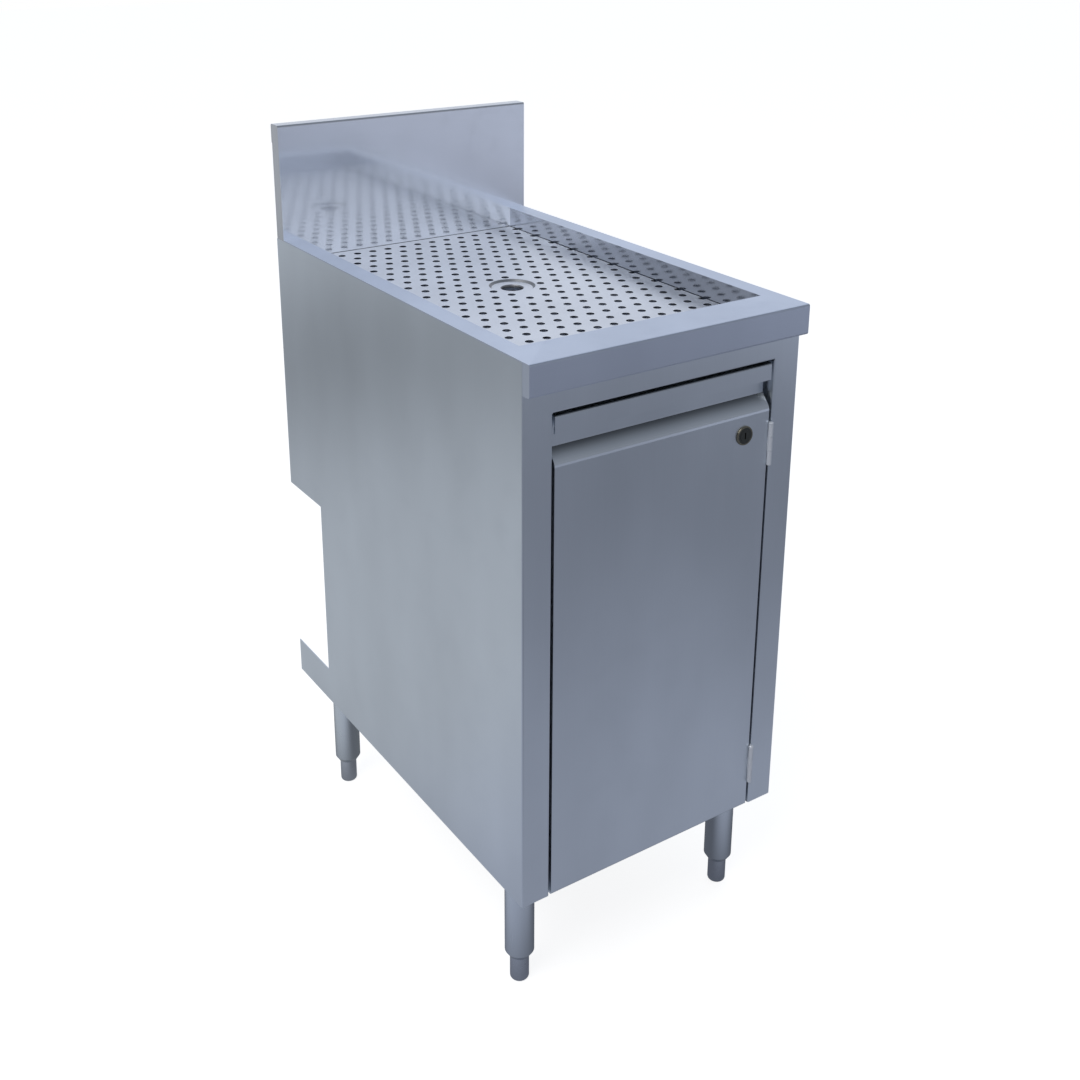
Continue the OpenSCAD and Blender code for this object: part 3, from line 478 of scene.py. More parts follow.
@dataclass
class Finishes:
    """Every finish on the drainboard, made once and shared by the pieces."""

    pull_wall_h: float = 39.1
    pull_ramp_h: float = 14.7
    made: dict[str, Material] = field(init=False)

    def __post_init__(self) -> None:
        """Make all the materials."""
        self.made = {key: recipe.make() for key, recipe in self.recipes().items()}

    def __getitem__(self, key: str) -> Material:
        """Material of that key."""
        return self.made[key]

    def pull_crease(self) -> Pair:
        """Heights in metres between which the pull's ramp rises to its crease."""
        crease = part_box("door_pull")[1].z - self.pull_wall_h * MM
        return crease - self.pull_ramp_h * MM, crease

    def recipes(self) -> dict[str, BrushedSteel | TurnedMetal | MouldedPolymer]:
        """Describe each finish and what it gives the eye.

        Returns:
            The finishes by key.
        """
        steel = "#d2d8de"
        return {
            # Folded sheet polished along its edges, so its lines meet on the mitred corners
            "top": BrushedSteel(
                "brushed stainless worktop",
                "#cdd4e1",
                Grain.CROSSWISE,
                0.38,
                0.4,
                mitre_grain=Grain.DEPTHWISE,
                # Painted shade: upright faces darker than the flat ones
                fold_shade_tone=0.88,
                fold_reach=(0.3, 0.9),
                # Inner wall smoother, and pale to mirror rays: a painted reflection
                smooth_wall_painted_pale=True,
            ),
            # Sheet brushed along its width and buffed: it mirrors the deck, drawn out upright
            "splash": BrushedSteel(
                "buffed stainless backsplash",
                "#c6cad1",
                Grain.CROSSWISE,
                0.16,
                0.9,
                polish=1.0,
                # Painted shade: faces turned from the front, its top and ends, at half tone
                fold_shade_tone=0.5,
                fold_axis=1,
            ),
            # Punched sheet, lighter than the other sheets as painted light, and more even
            "insert": BrushedSteel(
                "brushed stainless insert",
                "#f0f1f4",
                Grain.CROSSWISE,
                0.42,
                0.5,
                # Painted shade: walls of the holes and of the finger dish darker
                fold_shade_tone=0.42,
                fold_reach=(0.8, 0.97),
            ),
            # Outer sheets brushed upright, with slow mottling from the mill
            "panel": BrushedSteel("brushed stainless panel", steel, Grain.UPRIGHT, 0.32, 0.5),
            # Door: painted shade on the pull's ramp toward its crease
            "door": BrushedSteel(
                "brushed stainless door", steel, Grain.UPRIGHT, 0.32, 0.5, crease=self.pull_crease()
            ),
            # Drawn tube polished along its length
            "leg": BrushedSteel("polished stainless tube", steel, Grain.UPRIGHT, 0.24, 0.4),
            # Turned feet, slightly duller than the tube
            "foot": TurnedMetal("turned stainless foot", "#dce1e9", "#ccd1da", 0.3),
            # Hinges rolled from strip, matt and nearly white as a painted highlight
            "hinge": TurnedMetal(
                "matt plated hinge strip", "#f4f7fd", "#e6eaf2", 0.42, metallic=0.2
            ),
            # Small fasteners with the even grey of zinc
            "screw": TurnedMetal("zinc-plated screw", "#c4c6c6", "#a8aaa6", 0.32, 2.0),
            # Chromed drain fittings, which mirror the pan
            "chrome": TurnedMetal("chromed drain fitting", "#d0d3d6", "#c3c7cb", 0.1),
            # Cam lock in dark lacquer; its beige rim is a painted highlight on the bezel's edge
            "lock": TurnedMetal("dark lacquered lock", "#3c3e3b", "#4b4d49", 0.4, 3.0, 0.6),
            "brass": TurnedMetal("worn brass lock rim", "#8b8678", "#6d695d", 0.4, 1.5),
            # Punched hole walls, torn and dull, dark as painted shade against the polished sheet
            "punched": TurnedMetal("dull punched edge", "#3a404c", "#2d323d", 0.5, 1.5),
            # Weld beads, faintly straw-tinted by the heat
            "weld": TurnedMetal("straw-tinted weld bead", "#b5b2aa", "#8f8c86", 0.38, 2.5),
            # Soft black rubber of the drain's gasket
            "rubber": MouldedPolymer("moulded black rubber", "#26272a", 0.7),
            # Grey plastic case of the magnetic catch
            "plastic": MouldedPolymer("moulded grey plastic", "#5b5e63", 0.5),
        }


@dataclass
class FormTree(Graph):
    """Geometry Nodes tree under construction: named sizes go in and one dressed mesh comes out."""

    name: str
    tree: Tree = field(init=False)
    entry: Outputs = field(init=False)
    sizes: dict[str, float] = field(default_factory=dict)

    def __post_init__(self) -> None:
        """Make the tree with its geometry sockets."""
        self.tree = bpy.data.node_groups.new(self.name, "GeometryNodeTree")
        for way in ("INPUT", "OUTPUT"):
            self.tree.interface.new_socket("Geometry", in_out=way, socket_type="NodeSocketGeometry")
        self.entry = self.add("NodeGroupInput")

    def size(self, name: str, value: float) -> Socket:
        """Add a named size.

        Args:
            name: name of the size.
            value: its value in metres.

        Returns:
            Output socket that carries it.
        """
        socket = self.tree.interface.new_socket(
            name, in_out="INPUT", socket_type="NodeSocketFloat"
        )
        self.sizes[socket.identifier] = value
        return self.entry[name]

    def ring(
        self,
        low: Socket,
        high: Socket,
        depth: Socket,
        z: Socket | float = 0.0,
        sides: int = 16,
        closed: bool = True,
    ) -> Socket:
        """Cone or tube on the Z axis.

        Args:
            low: radius at its lower end.
            high: radius at its upper end.
            depth: its length.
            z: height of its lower end.
            sides: number of its sides.
            closed: close both ends with a face.

        Returns:
            Output socket of the mesh.
        """
        cone = self.add(
            "GeometryNodeMeshCone",
            {"Radius Bottom": low, "Radius Top": high, "Depth": depth, "Vertices": sides},
            fill_type="NGON" if closed else "NONE",
        )["Mesh"]
        lift = self.add("ShaderNodeCombineXYZ", (0.0, 0.0, z))[0]
        return self.add("GeometryNodeTransform", {"Geometry": cone, "Translation": lift})[0]

    def bake(
        self,
        shapes: list[Socket],
        material: Material,
        places: list[Vector],
        body: str,
        slot: str,
        turn: Triple = (0.0, 0.0, 0.0),
        smooth: bool = True,
    ) -> bpy.types.Object:
        """Repeat joined shapes on points and turn the result into a plain mesh on a body.

        Args:
            shapes: meshes that make one piece.
            material: their finish.
            places: points that the piece is repeated on.
            body: CAD body that it rides on.
            slot: not used.
            turn: turn of every piece.
            smooth: shade the faces smoothly.

        Returns:
            The finished object at the origin.
        """
        joined = self.add("GeometryNodeJoinGeometry", {0: shapes})[0]
        repeated = self.add(
            "GeometryNodeInstanceOnPoints",
            {"Points": self.entry["Geometry"], "Instance": joined, "Rotation": turn},
        )[0]
        real = self.add("GeometryNodeRealizeInstances", {0: repeated})[0]
        dressed = self.add("GeometryNodeSetMaterial", {0: real, "Material": material})[0]
        self.add("NodeGroupOutput", {0: dressed})
        points = bpy.data.meshes.new(self.name + " points")
        points.from_pydata([tuple(p) for p in places], [], [])
        host = bpy.data.objects.new(self.name + " points", points)
        bpy.context.scene.collection.objects.link(host)
        modifier = host.modifiers.new(self.name, "NODES")
        modifier.node_group = self.tree
        for identifier, value in self.sizes.items():
            modifier[identifier] = value
        graph = bpy.context.evaluated_depsgraph_get()
        mesh = bpy.data.meshes.new_from_object(host.evaluated_get(graph))
        host.modifiers.remove(modifier)
        bpy.data.objects.remove(host)
        bpy.data.meshes.remove(points)
        return place_mesh(mesh, f"{self.name.replace(' ', '_')}_{body}", body, smooth)


def place_mesh(
    mesh: bpy.types.Mesh, name: str, body: str, smooth: bool = True
) -> bpy.types.Object:
    """Link a finished mesh at the origin and let it ride on a body.

    Args:
        mesh: the mesh, in the row frame.
        name: name of the piece.
        body: CAD body that it rides on.
        smooth: shade its faces smoothly.

    Returns:
        The new object.
    """
    mesh.name = name
    mesh.polygons.foreach_set("use_smooth", [smooth] * len(mesh.polygons))
    piece = bpy.data.objects.new(name, mesh)
    bpy.context.scene.collection.objects.link(piece)
    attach(piece, body)
    log.info("%s: %d faces on %s", name, len(mesh.polygons), body)
    return piece


@dataclass
class SubAssembly:
    """Pieces that are dressed and built together."""

    frame: dict
    finishes: Finishes

    def dress(self, names: list[str], key: str) -> None:
        """Give CAD nodes a finish.

        Args:
            names: nodes to dress.
            key: key of their finish.
        """
        material = self.finishes[key]
        for name in names:
            worn = self.frame["nodes"][name].data.materials
            worn.clear()
            worn.append(material)
        log.info("%s on %s", material.name, ", ".join(names))

    def dress_slots(self, **keys: str) -> None:
        """Give a finish to every CAD node of each of the record's material slots.

        Args:
            keys: key of the finish by the slot's name.
        """
        parts = self.frame["record"]["subparts"]
        for slot, key in keys.items():
            self.dress([p["node"] for p in parts if p["material_slot"] == slot], key)


@dataclass
class Cabinet(SubAssembly):
    """Folded panels, shelves and channels, with the door's skin, pull and liner."""

    def build(self) -> None:
        """Dress the sheets of the cabinet and of its door."""
        self.dress_slots(panel_steel="panel", door_steel="door")


@dataclass
class Fittings(SubAssembly):
    """Hinges, lock, catch, drain stack and plain fasteners, all bought in."""

    def build(self) -> None:
        """Dress the bought hardware."""
        self.dress_slots(hinge_steel="hinge", screw_steel="screw", drain_steel="chrome")
        self.dress_slots(gasket_rubber="rubber", catch_plastic="plastic", lock_face="lock")


@dataclass
class Lock(SubAssembly):
    """Beige rim of the cam lock, painted as the highlight along the bezel's edge."""

    # Section of the rim in mm: from the bezel's edge outward, and over its face
    rim_section: tuple[Pair, ...] = (
        (0.05, -2.1),
        (-0.1, -1.1),
        (-0.7, 0.1),
        (-1.45, 0.25),
        (-2.1, 0.02),
        (-2.1, -0.6),
        (-1.4, -2.1),
    )
    sides: int = 48

    def rim(self) -> bpy.types.Mesh:
        """Turn the rim's section round the lock's axis.

        Returns:
            The mesh, with its faces outward.
        """
        low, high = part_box("lock_housing")
        centre = Vector(((low.x + high.x) / 2, low.y, (low.z + high.z) / 2))
        outer = (high.x - low.x) / 2
        profile = [(outer + out * MM, over * MM) for out, over in self.rim_section]
        turn = Vector((0, -1, 0)).to_track_quat("Z", "Y")
        shape = bmesh.new()
        rings = []
        for i in range(self.sides):
            a = 2 * math.pi * i / self.sides
            around = [Vector((r * math.cos(a), r * math.sin(a), h)) for r, h in profile]
            rings.append([shape.verts.new(centre + turn @ point) for point in around])
        for ring, following in zip(rings, rings[1:] + rings[:1]):
            for j in range(len(profile)):
                k = (j + 1) % len(profile)
                shape.faces.new((ring[j], following[j], following[k], ring[k]))
        bmesh.ops.recalc_face_normals(shape, faces=shape.faces)
        mesh = bpy.data.meshes.new("turned")
        shape.to_mesh(mesh)
        shape.free()
        return mesh

    def build(self) -> None:
        """Lay the rim on the bezel's outer edge; the lock itself is dressed with the fittings."""
        mesh = self.rim()
        mesh.materials.append(self.finishes["brass"])
        place_mesh(mesh, "lock_worn_rim", "door")


class HeadSide(Enum):
    """Side to which screw heads face, as the turn that brings an upright screw there."""

    LEFT = (0.0, -math.pi / 2, 0.0)
    RIGHT = (0.0, math.pi / 2, 0.0)
    BACK = (-math.pi / 2, 0.0, 0.0)


@dataclass
class Screws(SubAssembly):
    """Screws that hold the hinges, the catch and the legs' plates."""

    cross_d: float = 3.0
    hinge_head_t: float = 0.5
    hinge_screw_inset: float = 10.0
    catch_head_t: float = 1.6
    recess_w: float = 0.7
    # Shares of the head's radius or height, and of the shank's radius
    crown_share: float = 0.82
    recess_span_share: float = 1.1
    recess_depth_share: float = 1.2
    tip_share: float = 0.7
    leg_d: float = 6.0
    leg_corner_share: float = 0.9
    leg_chamfer_share: float = 0.22
    leg_washer_share: float = 0.12
    leg_face_share: float = 0.86

    def heads(
        self, node: str, side: HeadSide, head_t: float
    ) -> tuple[list[Vector], float, float]:
        """Work out where the heads sit, from the CAD node's box.

        Args:
            node: CAD node that holds the screws.
            side: side to which the heads face.
            head_t: height of the head in metres.

        Returns:
            The heads' places, their radius and the screws' whole length in metres.
        """
        low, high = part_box(node)
        middle = (low + high) / 2
        if side is HeadSide.BACK:
            radius = (high.z - low.z) / 2
            places = [
                Vector((x, high.y - head_t, middle.z)) for x in (low.x + radius, high.x - radius)
            ]
            return places, radius, high.y - low.y
        x = high.x - head_t if side is HeadSide.RIGHT else low.x + head_t
        places = []
        for which in ("upper", "lower"):
            bottom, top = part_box(f"hinge_frame_leaf_{which}")
            reach = (top.z - bottom.z) / 2 - self.hinge_screw_inset * MM
            z = (top.z + bottom.z) / 2
            places += [Vector((x, middle.y, z + s * reach)) for s in (-1, 1)]
        return places, (high.y - low.y) / 2, high.x - low.x

    def cross_headed(self, node: str, body: str, side: HeadSide, head_t: float) -> None:
        """Replace plain CAD screws by ones with a domed head and a cross recess.

        Args:
            node: CAD node that holds the screws.
            body: body that they ride on.
            side: side to which the heads face.
            head_t: height of the head in metres.
        """
        form = FormTree(node.replace("_", " "))
        places, head_r, length = self.heads(node, side, head_t)
        radius = form.size("Head radius", head_r)
        rise = form.size("Head height", head_t)
        shank_r = form.size("Shank radius", self.cross_d / 2 * MM)
        shank_l = form.size("Shank length", length - head_t)
        recess = form.size("Recess width", self.recess_w * MM)
        crown, span, drop, tip, down = (
            form.add(MATH, product, operation="MULTIPLY")[0]
            for product in (
                (radius, self.crown_share),
                (radius, self.recess_span_share),
                (rise, self.recess_depth_share),
                (shank_r, self.tip_share),
                (shank_l, -1.0),
            )
        )
        lift = form.add("ShaderNodeCombineXYZ", (0.0, 0.0, rise))[0]
        bars = []
        for first, second in ((span, recess), (recess, span)):
            size = form.add("ShaderNodeCombineXYZ", (first, second, drop))[0]
            bar = form.add("GeometryNodeMeshCube", {"Size": size})["Mesh"]
            moved = {"Geometry": bar, "Translation": lift}
            bars.append(form.add("GeometryNodeTransform", moved)[0])
        head = form.ring(radius, crown, rise, sides=20)
        cut = form.add(
            "GeometryNodeMeshBoolean", {0: head, 1: bars}, operation="DIFFERENCE", solver="EXACT"
        )[0]
        shank = form.ring(tip, shank_r, shank_l, down, sides=12)
        shapes, finish = [cut, shank], self.finishes["screw"]
        piece = form.bake(shapes, finish, places, body, "screw_steel", side.value, smooth=False)
        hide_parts(node)

    def hex_headed(self) -> None:
        """Replace the legs' plain screws by hexagon heads with a chamfer and a washer face."""
        low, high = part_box("leg_screws")
        corner = self.leg_d * self.leg_corner_share * MM
        first_low, first_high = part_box(LEG_TUBES[0])
        offset = (first_low.x + first_high.x) / 2 - low.x - corner
        places = []
        for tube in LEG_TUBES:
            bottom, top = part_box(tube)
            x, y = (bottom.x + top.x) / 2, (bottom.y + top.y) / 2
            around = [(x + i * offset, y + j * offset) for i in (-1, 1) for j in (-1, 1)]
            places += [Vector((*spot, top.z)) for spot in around]
        form = FormTree("hexagon screws")
        across = form.size("Corner radius", corner)
        head = form.size("Head height", min(p.z for p in places) - low.z)
        shank_r = form.size("Shank radius", self.leg_d / 2 * MM)
        shank_l = form.size("Shank length", high.z - max(p.z for p in places))
        chamfer, washer, down, narrow = (
            form.add(MATH, product, operation="MULTIPLY")[0]
            for product in (
                (head, self.leg_chamfer_share),
                (head, self.leg_washer_share),
                (head, -1.0),
                (across, self.leg_face_share),
            )
        )
        washer_down = form.add(MATH, (washer, -1.0), operation="MULTIPLY")[0]
        rest, from_top = (
            form.add(MATH, ends, operation="SUBTRACT")[0]
            for ends in ((head, chamfer), (chamfer, head))
        )
        body = form.add(MATH, (rest, washer), operation="SUBTRACT")[0]
        shapes = [
            form.ring(narrow, across, chamfer, down, sides=6),
            form.ring(across, across, body, from_top, sides=6),
            form.ring(narrow, narrow, washer, washer_down, sides=24),
            form.ring(shank_r, shank_r, shank_l, sides=12),
        ]
        finish = self.finishes["screw"]
        piece = form.bake(shapes, finish, places, "cabinet", "screw_steel", smooth=False)
        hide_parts("leg_screws")

    def build(self) -> None:
        """Replace every plain screw."""
        hinge_head, catch_head = self.hinge_head_t * MM, self.catch_head_t * MM
        self.cross_headed("hinge_screws_frame", "cabinet", HeadSide.LEFT, hinge_head)
        self.cross_headed("hinge_screws_door", "door", HeadSide.RIGHT, hinge_head)
        self.cross_headed("catch_screws", "cabinet", HeadSide.BACK, catch_head)
        self.hex_headed()


@dataclass
class Legs(SubAssembly):
    """Tubular legs welded to their plates, and feet with threaded stems."""

    bead_mm: float = 1.5
    bead_inset: float = 0.2
    beads: int = 46
    stem_d: float = 12.0
    stem_l: float = 48.0
    plain_end: float = 1.0
    thread_pitch: float = 1.75
    thread_rise: float = 0.2

    def weld(self) -> None:
        """Lay a ring of weld beads round each tube, under its plate."""
        places = []
        for tube in LEG_TUBES:
            low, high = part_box(tube)
            radius = (high.x - low.x) / 2 + self.bead_inset * MM
            middle = (low + high) / 2
            middle.z = high.z - 0.5 * self.bead_mm * MM
            for i in range(self.beads):
                a = 2 * math.pi * i / self.beads
                places.append(middle + Vector((math.cos(a), math.sin(a), 0)) * radius)
        form = FormTree("weld beads")
        sphere = {"Segments": 8, "Rings": 5, "Radius": form.size("Bead radius", self.bead_mm * MM)}
        bead = form.add("GeometryNodeMeshUVSphere", sphere)["Mesh"]
        form.bake([bead], self.finishes["weld"], places, "cabinet", "leg_steel")

    def thread(self, foot: str) -> None:
        """Wind the thin ridge of a thread up a foot's stem.

        Args:
            foot: CAD node of the foot, which is also its body's name.
        """
        low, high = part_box(foot)
        form = FormTree("stem thread")
        radius = form.size("Stem radius", self.stem_d / 2 * MM)
        length = form.size("Threaded length", (self.stem_l - 2 * self.plain_end) * MM)
        pitch = form.size("Pitch", self.thread_pitch * MM)
        rise = form.size("Ridge height", self.thread_rise * MM)
        turns = form.add(MATH, (length, pitch), operation="DIVIDE")[0]
        winding = {"Resolution": 18, "Rotations": turns, "Height": length}
        line = form.add(
            "GeometryNodeCurveSpiral", {**winding, "Start Radius": radius, "End Radius": radius}
        )[0]
        section = form.add("GeometryNodeCurvePrimitiveCircle", {"Resolution": 4, "Radius": rise})[0]
        swept = {"Curve": line, "Profile Curve": section, "Fill Caps": True}
        ridge = form.add("GeometryNodeCurveToMesh", swept)[0]
        start = (low + high) / 2
        start.z = high.z - (self.stem_l - self.plain_end) * MM
        form.bake([ridge], self.finishes["foot"], [start], foot, "foot_steel")

    def build(self) -> None:
        """Dress the legs and feet, weld the tubes and thread the stems."""
        self.dress_slots(leg_steel="leg", foot_steel="foot")
        self.weld()
        for foot in FEET:
            self.thread(foot)


@dataclass
class Worktop(SubAssembly):
    """Drainboard top and backsplash, welded to each other behind the pan."""

    def build(self) -> None:
        """Dress the top and the backsplash."""
        self.dress(["drainboard_top"], "top")
        self.dress(["backsplash"], "splash")


@dataclass
class Insert(SubAssembly):
    """Perforated insert with its finger hole, and each hole's soft punched edge in painted shade.
    """

    hole_d: float = 9.8
    pitch: float = 23.25
    thickness: float = 1.2
    finger_y: float = 20.65
    dish_d: float = 59.0
    web: float = 0.5
    margin: float = 3.0
    rim_inset: float = 0.1
    rim_fall: float = 0.3
    lining_gap: float = 0.1

    def places(self) -> list[Vector]:
        """Find the centres of the whole holes, by the same rule as the solid.

        Returns:
            The centres on the upper face, every other row offset by half the pitch.
        """
        low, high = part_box("perforated_insert")
        half = (high.x - low.x) / 2 / MM
        clear = self.hole_d / 2 + self.margin
        first = math.ceil((low.y / MM + clear - self.finger_y) / self.pitch + 0.5)
        last = math.floor((high.y / MM - clear - self.finger_y) / self.pitch + 0.5)
        columns = math.floor(half / self.pitch)
        keep_out = self.dish_d / 2 + self.hole_d / 2 + self.web
        found = []
        for k in range(first, last + 1):
            for c in range(-columns - 1, columns + 1):
                x = (c + (0.0 if k % 2 else 0.5)) * self.pitch
                y = (k - 0.5) * self.pitch
                whole = abs(x) < half - self.hole_d / 2 - 2 * self.thickness
                if whole and math.hypot(x, y) > keep_out:
                    found.append(Vector((x, y + self.finger_y, high.z / MM)) * MM)
        return found

    def punched_edges(self) -> None:
        """Line the holes with a punch's rounded fold and dull wall, dark as painted shade."""
        form = FormTree("punched edges")
        radius = form.size("Hole radius", self.hole_d / 2 * MM)
        inset = form.size("Inset of the wall", self.rim_inset * MM)
        fall = form.size("Depth of the fold", self.rim_fall * MM)
        depth = form.size("Sheet thickness", (self.thickness - self.lining_gap) * MM)
        inner, straight, fold_down, wall_down = (
            form.add(MATH, pair, operation=operation)[0]
            for operation, pair in (
                ("SUBTRACT", (radius, inset)),
                ("SUBTRACT", (depth, fall)),
                ("MULTIPLY", (fall, -1.0)),
                ("MULTIPLY", (depth, -1.0)),
            )
        )
        lining = [
            form.ring(inner, radius, fall, fold_down, closed=False),
            form.ring(inner, inner, straight, wall_down, closed=False),
        ]
        inward = [form.add("GeometryNodeFlipFaces", {0: mesh})[0] for mesh in lining]
        form.bake(inward, self.finishes["punched"], self.places(), "insert", "insert_steel")

    def build(self) -> None:
        """Dress the insert and line its holes."""
        self.dress(["perforated_insert"], "insert")
        self.punched_edges()


@dataclass
class Studio:
    """White floor, soft sky and one large soft lamp."""

    floor_half_m: float = 14.0
    floor_white: float = 0.86
    floor_colour: str = "#f1f7ff"
    front_floor_colour: str = "#e3ebff"
    floor_paint: Colour = (0.4, 0.4, 0.4, 1.0)
    shadow_shift: Triple = (0.07, 0.07, 0.0)
    pool_place: Triple = (-0.6, 0.5, 0.0)
    door_place: Triple = (0.45, -0.7, 0.0)
    door_light: float = 0.14
    sky_colours: tuple[str, str] = ("#e4ebf8", "#b4bfd1")
    left_light: float = 0.4
    right_light: float = 0.6
    front_light: float = 0.4
    horizon_light: float = 0.4
    second_light: float = 3.1
    second_left: float = 0.62
    lamp_place: Triple = (-2.6, -1.2, 4.2)
    lamp_aim: Triple = (0.0, 0.0, 0.5)
    lamp_size_m: float = 3.0
    lamp_watts: float = 90.0

    def floor_level(self, graph: MaterialGraph, axes: Outputs) -> Socket:
        """Level that the metal mirrors from the floor: a pool of light with the object's shadow.

        Args:
            graph: the floor's nodes.
            axes: components of the place on the floor.

        Returns:
            Output socket of the level.
        """
        footprint = (WIDTH_MM / 2 * MM, DEPTH_MM / 2 * MM, 0.0)
        beyond = graph.place
        for operation, other in (
            ("SUBTRACT", self.shadow_shift),
            ("ABSOLUTE", (0.0, 0.0, 0.0)),
            ("SUBTRACT", footprint),
            ("MAXIMUM", (0.0, 0.0, 0.0)),
        ):
            beyond = graph.add(VECTOR_MATH, (beyond, other), operation=operation)[0]
        outside, middle, from_pool, from_door = (
            graph.add(VECTOR_MATH, points, operation=operation)["Value"]
            for operation, points in (
                ("LENGTH", (beyond,)),
                ("LENGTH", (graph.place,)),
                ("DISTANCE", (graph.place, self.pool_place)),
                ("DISTANCE", (graph.place, self.door_place)),
            )
        )
        # How each joins the others, its source, and the start, end and levels of its soft change
        level = 0.0
        for operation, *fade in (
            ("ADD", from_pool, 0.5, 1.75, 0.62, 0.3),
            ("ADD", from_door, 0.1, 0.7, self.door_light, 0.0),
            ("MULTIPLY", outside, -0.02, 0.22, 0.3, 1.0),
            ("ADD", middle, 2.2, 4.5, 0.0, 0.27),
            ("ADD", axes[1], 1.7, 3.2, 0.0, 0.14),
            ("ADD", axes[0], 1.5, 3.2, 0.0, 0.3),
        ):
            soft = graph.add(MAP_RANGE, fade, **SMOOTH)[0]
            level = graph.add(MATH, (level, soft), operation=operation)[0]
        return level

    def floor_material(self) -> Material:
        """White to the camera, with the object's shadow, and pale to the metal that mirrors it.

        Returns:
            The floor's material.
        """
        graph = MaterialGraph("matt white studio floor")
        axes = graph.add("ShaderNodeSeparateXYZ", (graph.place,))
        ray = graph.add("ShaderNodeLightPath")
        behind = graph.add(MAP_RANGE, (axes[1], -0.3, 0.4, 0.0, 1.0), **SMOOTH)[0]
        colours = {0: behind, 6: linear(self.front_floor_colour), 7: linear(self.floor_colour)}
        tint = graph.add(MIX, colours, data_type="RGBA")[2]
        seen = graph.add("ShaderNodeEmission", (WHITE, self.floor_white))[0]
        mirrored = graph.add("ShaderNodeEmission", (tint, self.floor_level(graph, axes)))[0]
        paint = graph.add("ShaderNodeBsdfDiffuse", {"Color": self.floor_paint})[0]
        to_camera = graph.add("ShaderNodeAddShader", (seen, paint))[0]
        glossy = (ray["Is Glossy Ray"], ray["Is Transmission Ray"])
        mirror_ray = graph.add(MATH, glossy, operation="MAXIMUM")[0]
        mixed = paint
        for is_ray, shader in ((mirror_ray, mirrored), (ray["Is Camera Ray"], to_camera)):
            mixed = graph.add("ShaderNodeMixShader", (is_ray, mixed, shader))[0]
        return graph.finish(mixed)

    def build_floor(self) -> None:
        """Lay the floor under the feet."""
        mesh = bpy.data.meshes.new("studio_floor")
        h = self.floor_half_m
        mesh.from_pydata([(-h, -h, 0), (h, -h, 0), (h, h, 0), (-h, h, 0)], [], [(0, 1, 2, 3)])
        floor = bpy.data.objects.new("studio_floor", mesh)
        bpy.context.scene.collection.objects.link(floor)
        mesh.materials.append(self.floor_material())

    def sky_level(self, graph: Graph, axes: Outputs) -> Socket:
        """Level of the sky, dimmer to the left, right and front, brighter to light handed on.

        Light handed on from sheet to sheet comes mostly from the room's front and right.

        Args:
            graph: the sky's nodes.
            axes: components of the direction.

        Returns:
            Output socket of the level.
        """
        depth = graph.add("ShaderNodeLightPath")["Glossy Depth"]
        # Source, start and end of each soft change, and its level before and after
        fades = {
            "left": (axes[0], -0.6, 0.2, self.left_light, 1.0),
            "right": (axes[0], 0.65, 0.95, 1.0, self.right_light),
            "in_front": (axes[1], -0.15, 0.25, 1.0, 0.0),
            "aloft": (axes[2], 0.2, 0.6, 1 - self.horizon_light, 1 - self.front_light),
            "later": (depth, 1.0, 2.0, 0.0, 1.0),
            "front_left": (depth, 2.0, 3.0, 1.0, 2.4),
            "in_right": (axes[0], -0.3, 0.3, 0.0, 1.0),
            "behind": (axes[0], -0.4, 0.4, self.second_left, 1.2),
            "backward": (axes[1], -0.3, 0.3, 0.0, 1.0),
        }
        soft = {name: graph.add(MAP_RANGE, fade, **SMOOTH)[0] for name, fade in fades.items()}
        front = {0: soft["in_right"], 2: soft["front_left"], 3: self.second_light}
        handed_on = graph.add(MIX, front)[0]
        around = {0: soft["backward"], 2: handed_on, 3: soft["behind"]}
        handed_on = graph.add(MIX, around)[0]
        handed_on = graph.add(MIX, {0: soft["later"], 2: 1.0, 3: handed_on})[0]
        dimmed = (soft["in_front"], soft["aloft"])
        shadow = graph.add(MATH, dimmed, operation="MULTIPLY")[0]
        level = graph.add(MATH, (1.0, shadow), operation="SUBTRACT")[0]
        for other in (soft["left"], soft["right"], handed_on):
            level = graph.add(MATH, (level, other), operation="MULTIPLY")[0]
        return level

    def build_sky(self) -> None:
        """Make a world that is white to the camera and a soft pale dome to everything else."""
        world = bpy.data.worlds.new("studio sky")
        bpy.context.scene.world = world
        world.use_nodes = True
        graph = Graph(world.node_tree)
        graph.tree.nodes.clear()
        way = graph.add("ShaderNodeTexCoord")["Generated"]
        axes = graph.add("ShaderNodeSeparateXYZ", (way,))
        dome = graph.add("ShaderNodeValToRGB", (axes[2],))[0]
        stops = dome.node.color_ramp.elements
        for stop, position, colour in zip(stops, (0.4, 1.0), self.sky_colours):
            stop.position, stop.color = position, linear(colour)
        soft = graph.add("ShaderNodeBackground", (dome, self.sky_level(graph, axes)))[0]
        white = graph.add("ShaderNodeBackground", (WHITE, 1.0))[0]
        to_camera = graph.add("ShaderNodeLightPath")["Is Camera Ray"]
        mixed = graph.add("ShaderNodeMixShader", (to_camera, soft, white))[0]
        graph.add("ShaderNodeOutputWorld", {"Surface": mixed})

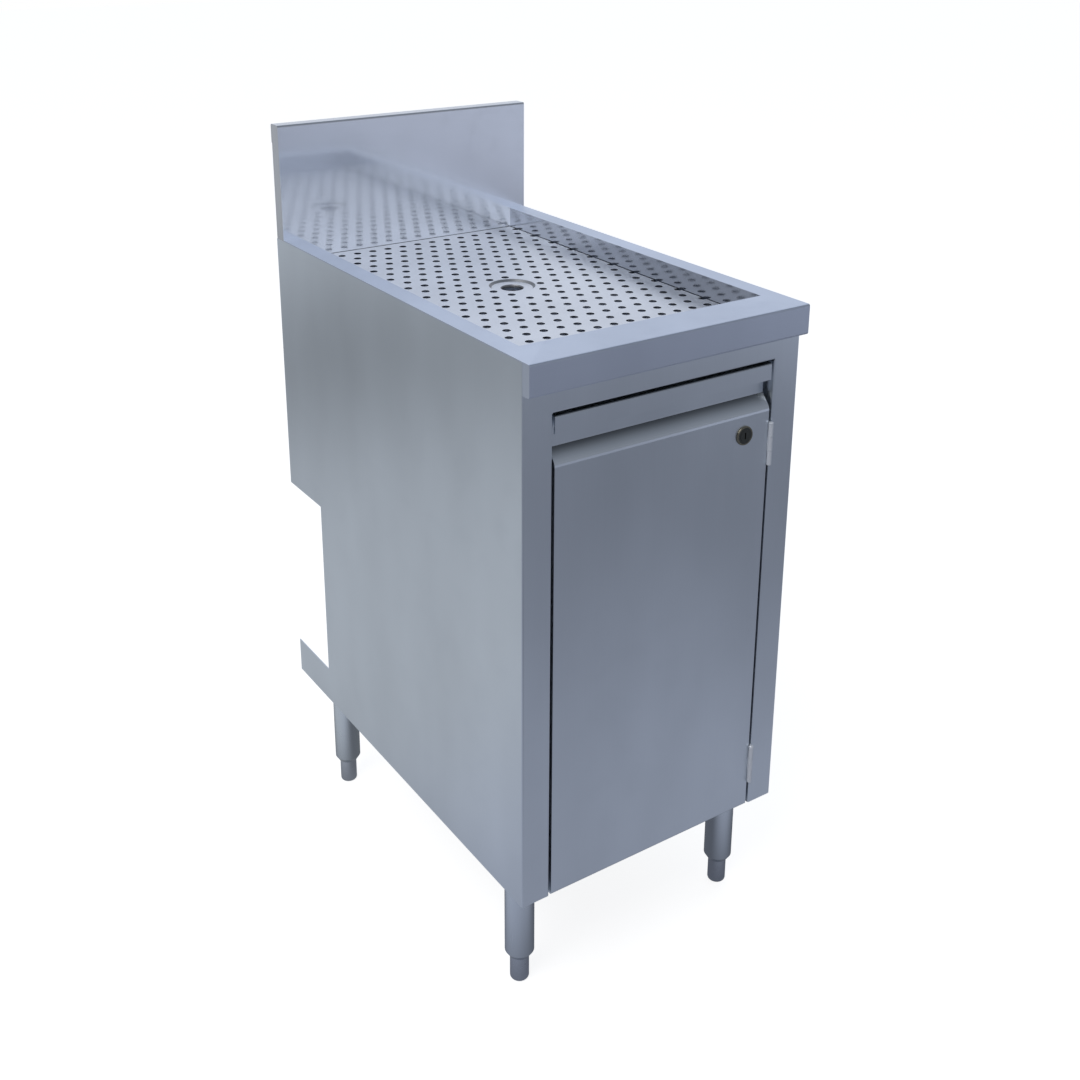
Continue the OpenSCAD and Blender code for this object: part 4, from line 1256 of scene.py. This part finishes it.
    def build_lamp(self) -> None:
        """Hang one large soft lamp above and to the left."""
        data = bpy.data.lights.new("soft_lamp", "AREA")
        data.shape = "DISK"
        data.size = self.lamp_size_m
        data.energy = self.lamp_watts
        lamp = bpy.data.objects.new("soft_lamp", data)
        bpy.context.scene.collection.objects.link(lamp)
        lamp.location = self.lamp_place
        aim = Vector(self.lamp_aim) - Vector(self.lamp_place)
        lamp.rotation_euler = aim.to_track_quat("-Z", "Y").to_euler()

    def build(self) -> None:
        """Build the floor, the sky and the lamp."""
        self.build_floor()
        self.build_sky()
        self.build_lamp()
        bpy.context.scene.view_settings.view_transform = "Standard"
        log.info("studio")


@dataclass
class PhotoCamera:
    """Camera at the photo's viewing angle, fitted to the object's edges."""

    place_mm: Triple = (-886.7, -1361.2, 1266.8)
    yaw_deg: float = 33.83
    pitch_deg: float = 18.23
    roll_deg: float = 0.251
    lens_mm: float = 45.377
    sensor_mm: float = 36.0
    shift: Pair = (0.0018, -0.19)
    clip_m: Pair = (0.05, 60.0)

    def build(self) -> None:
        """Make the camera and set it as the scene's."""
        data = bpy.data.cameras.new("photo_camera")
        data.lens = self.lens_mm
        data.sensor_width = self.sensor_mm
        data.sensor_fit = "HORIZONTAL"
        data.shift_x, data.shift_y = self.shift
        data.clip_start, data.clip_end = self.clip_m
        camera = bpy.data.objects.new("photo_camera", data)
        bpy.context.scene.collection.objects.link(camera)
        turned = Matrix.Translation(Vector(self.place_mm) * MM)
        angles = (-self.yaw_deg, 90.0 - self.pitch_deg, self.roll_deg)
        for angle, axis in zip(angles, "ZXZ"):
            turned @= Matrix.Rotation(math.radians(angle), 4, axis)
        camera.matrix_world = turned
        bpy.context.scene.camera = camera
        log.info("camera")


def main() -> None:
    """Build the drainboard's looks in order."""
    logging.basicConfig(level=logging.INFO, format="%(name)s: %(message)s")
    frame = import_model()
    finishes = Finishes()
    for sub_assembly in (Cabinet, Fittings, Lock, Screws, Legs, Worktop, Insert):
        sub_assembly(frame, finishes).build()
    Studio().build()
    PhotoCamera().build()


if __name__ == "__main__":
    main()
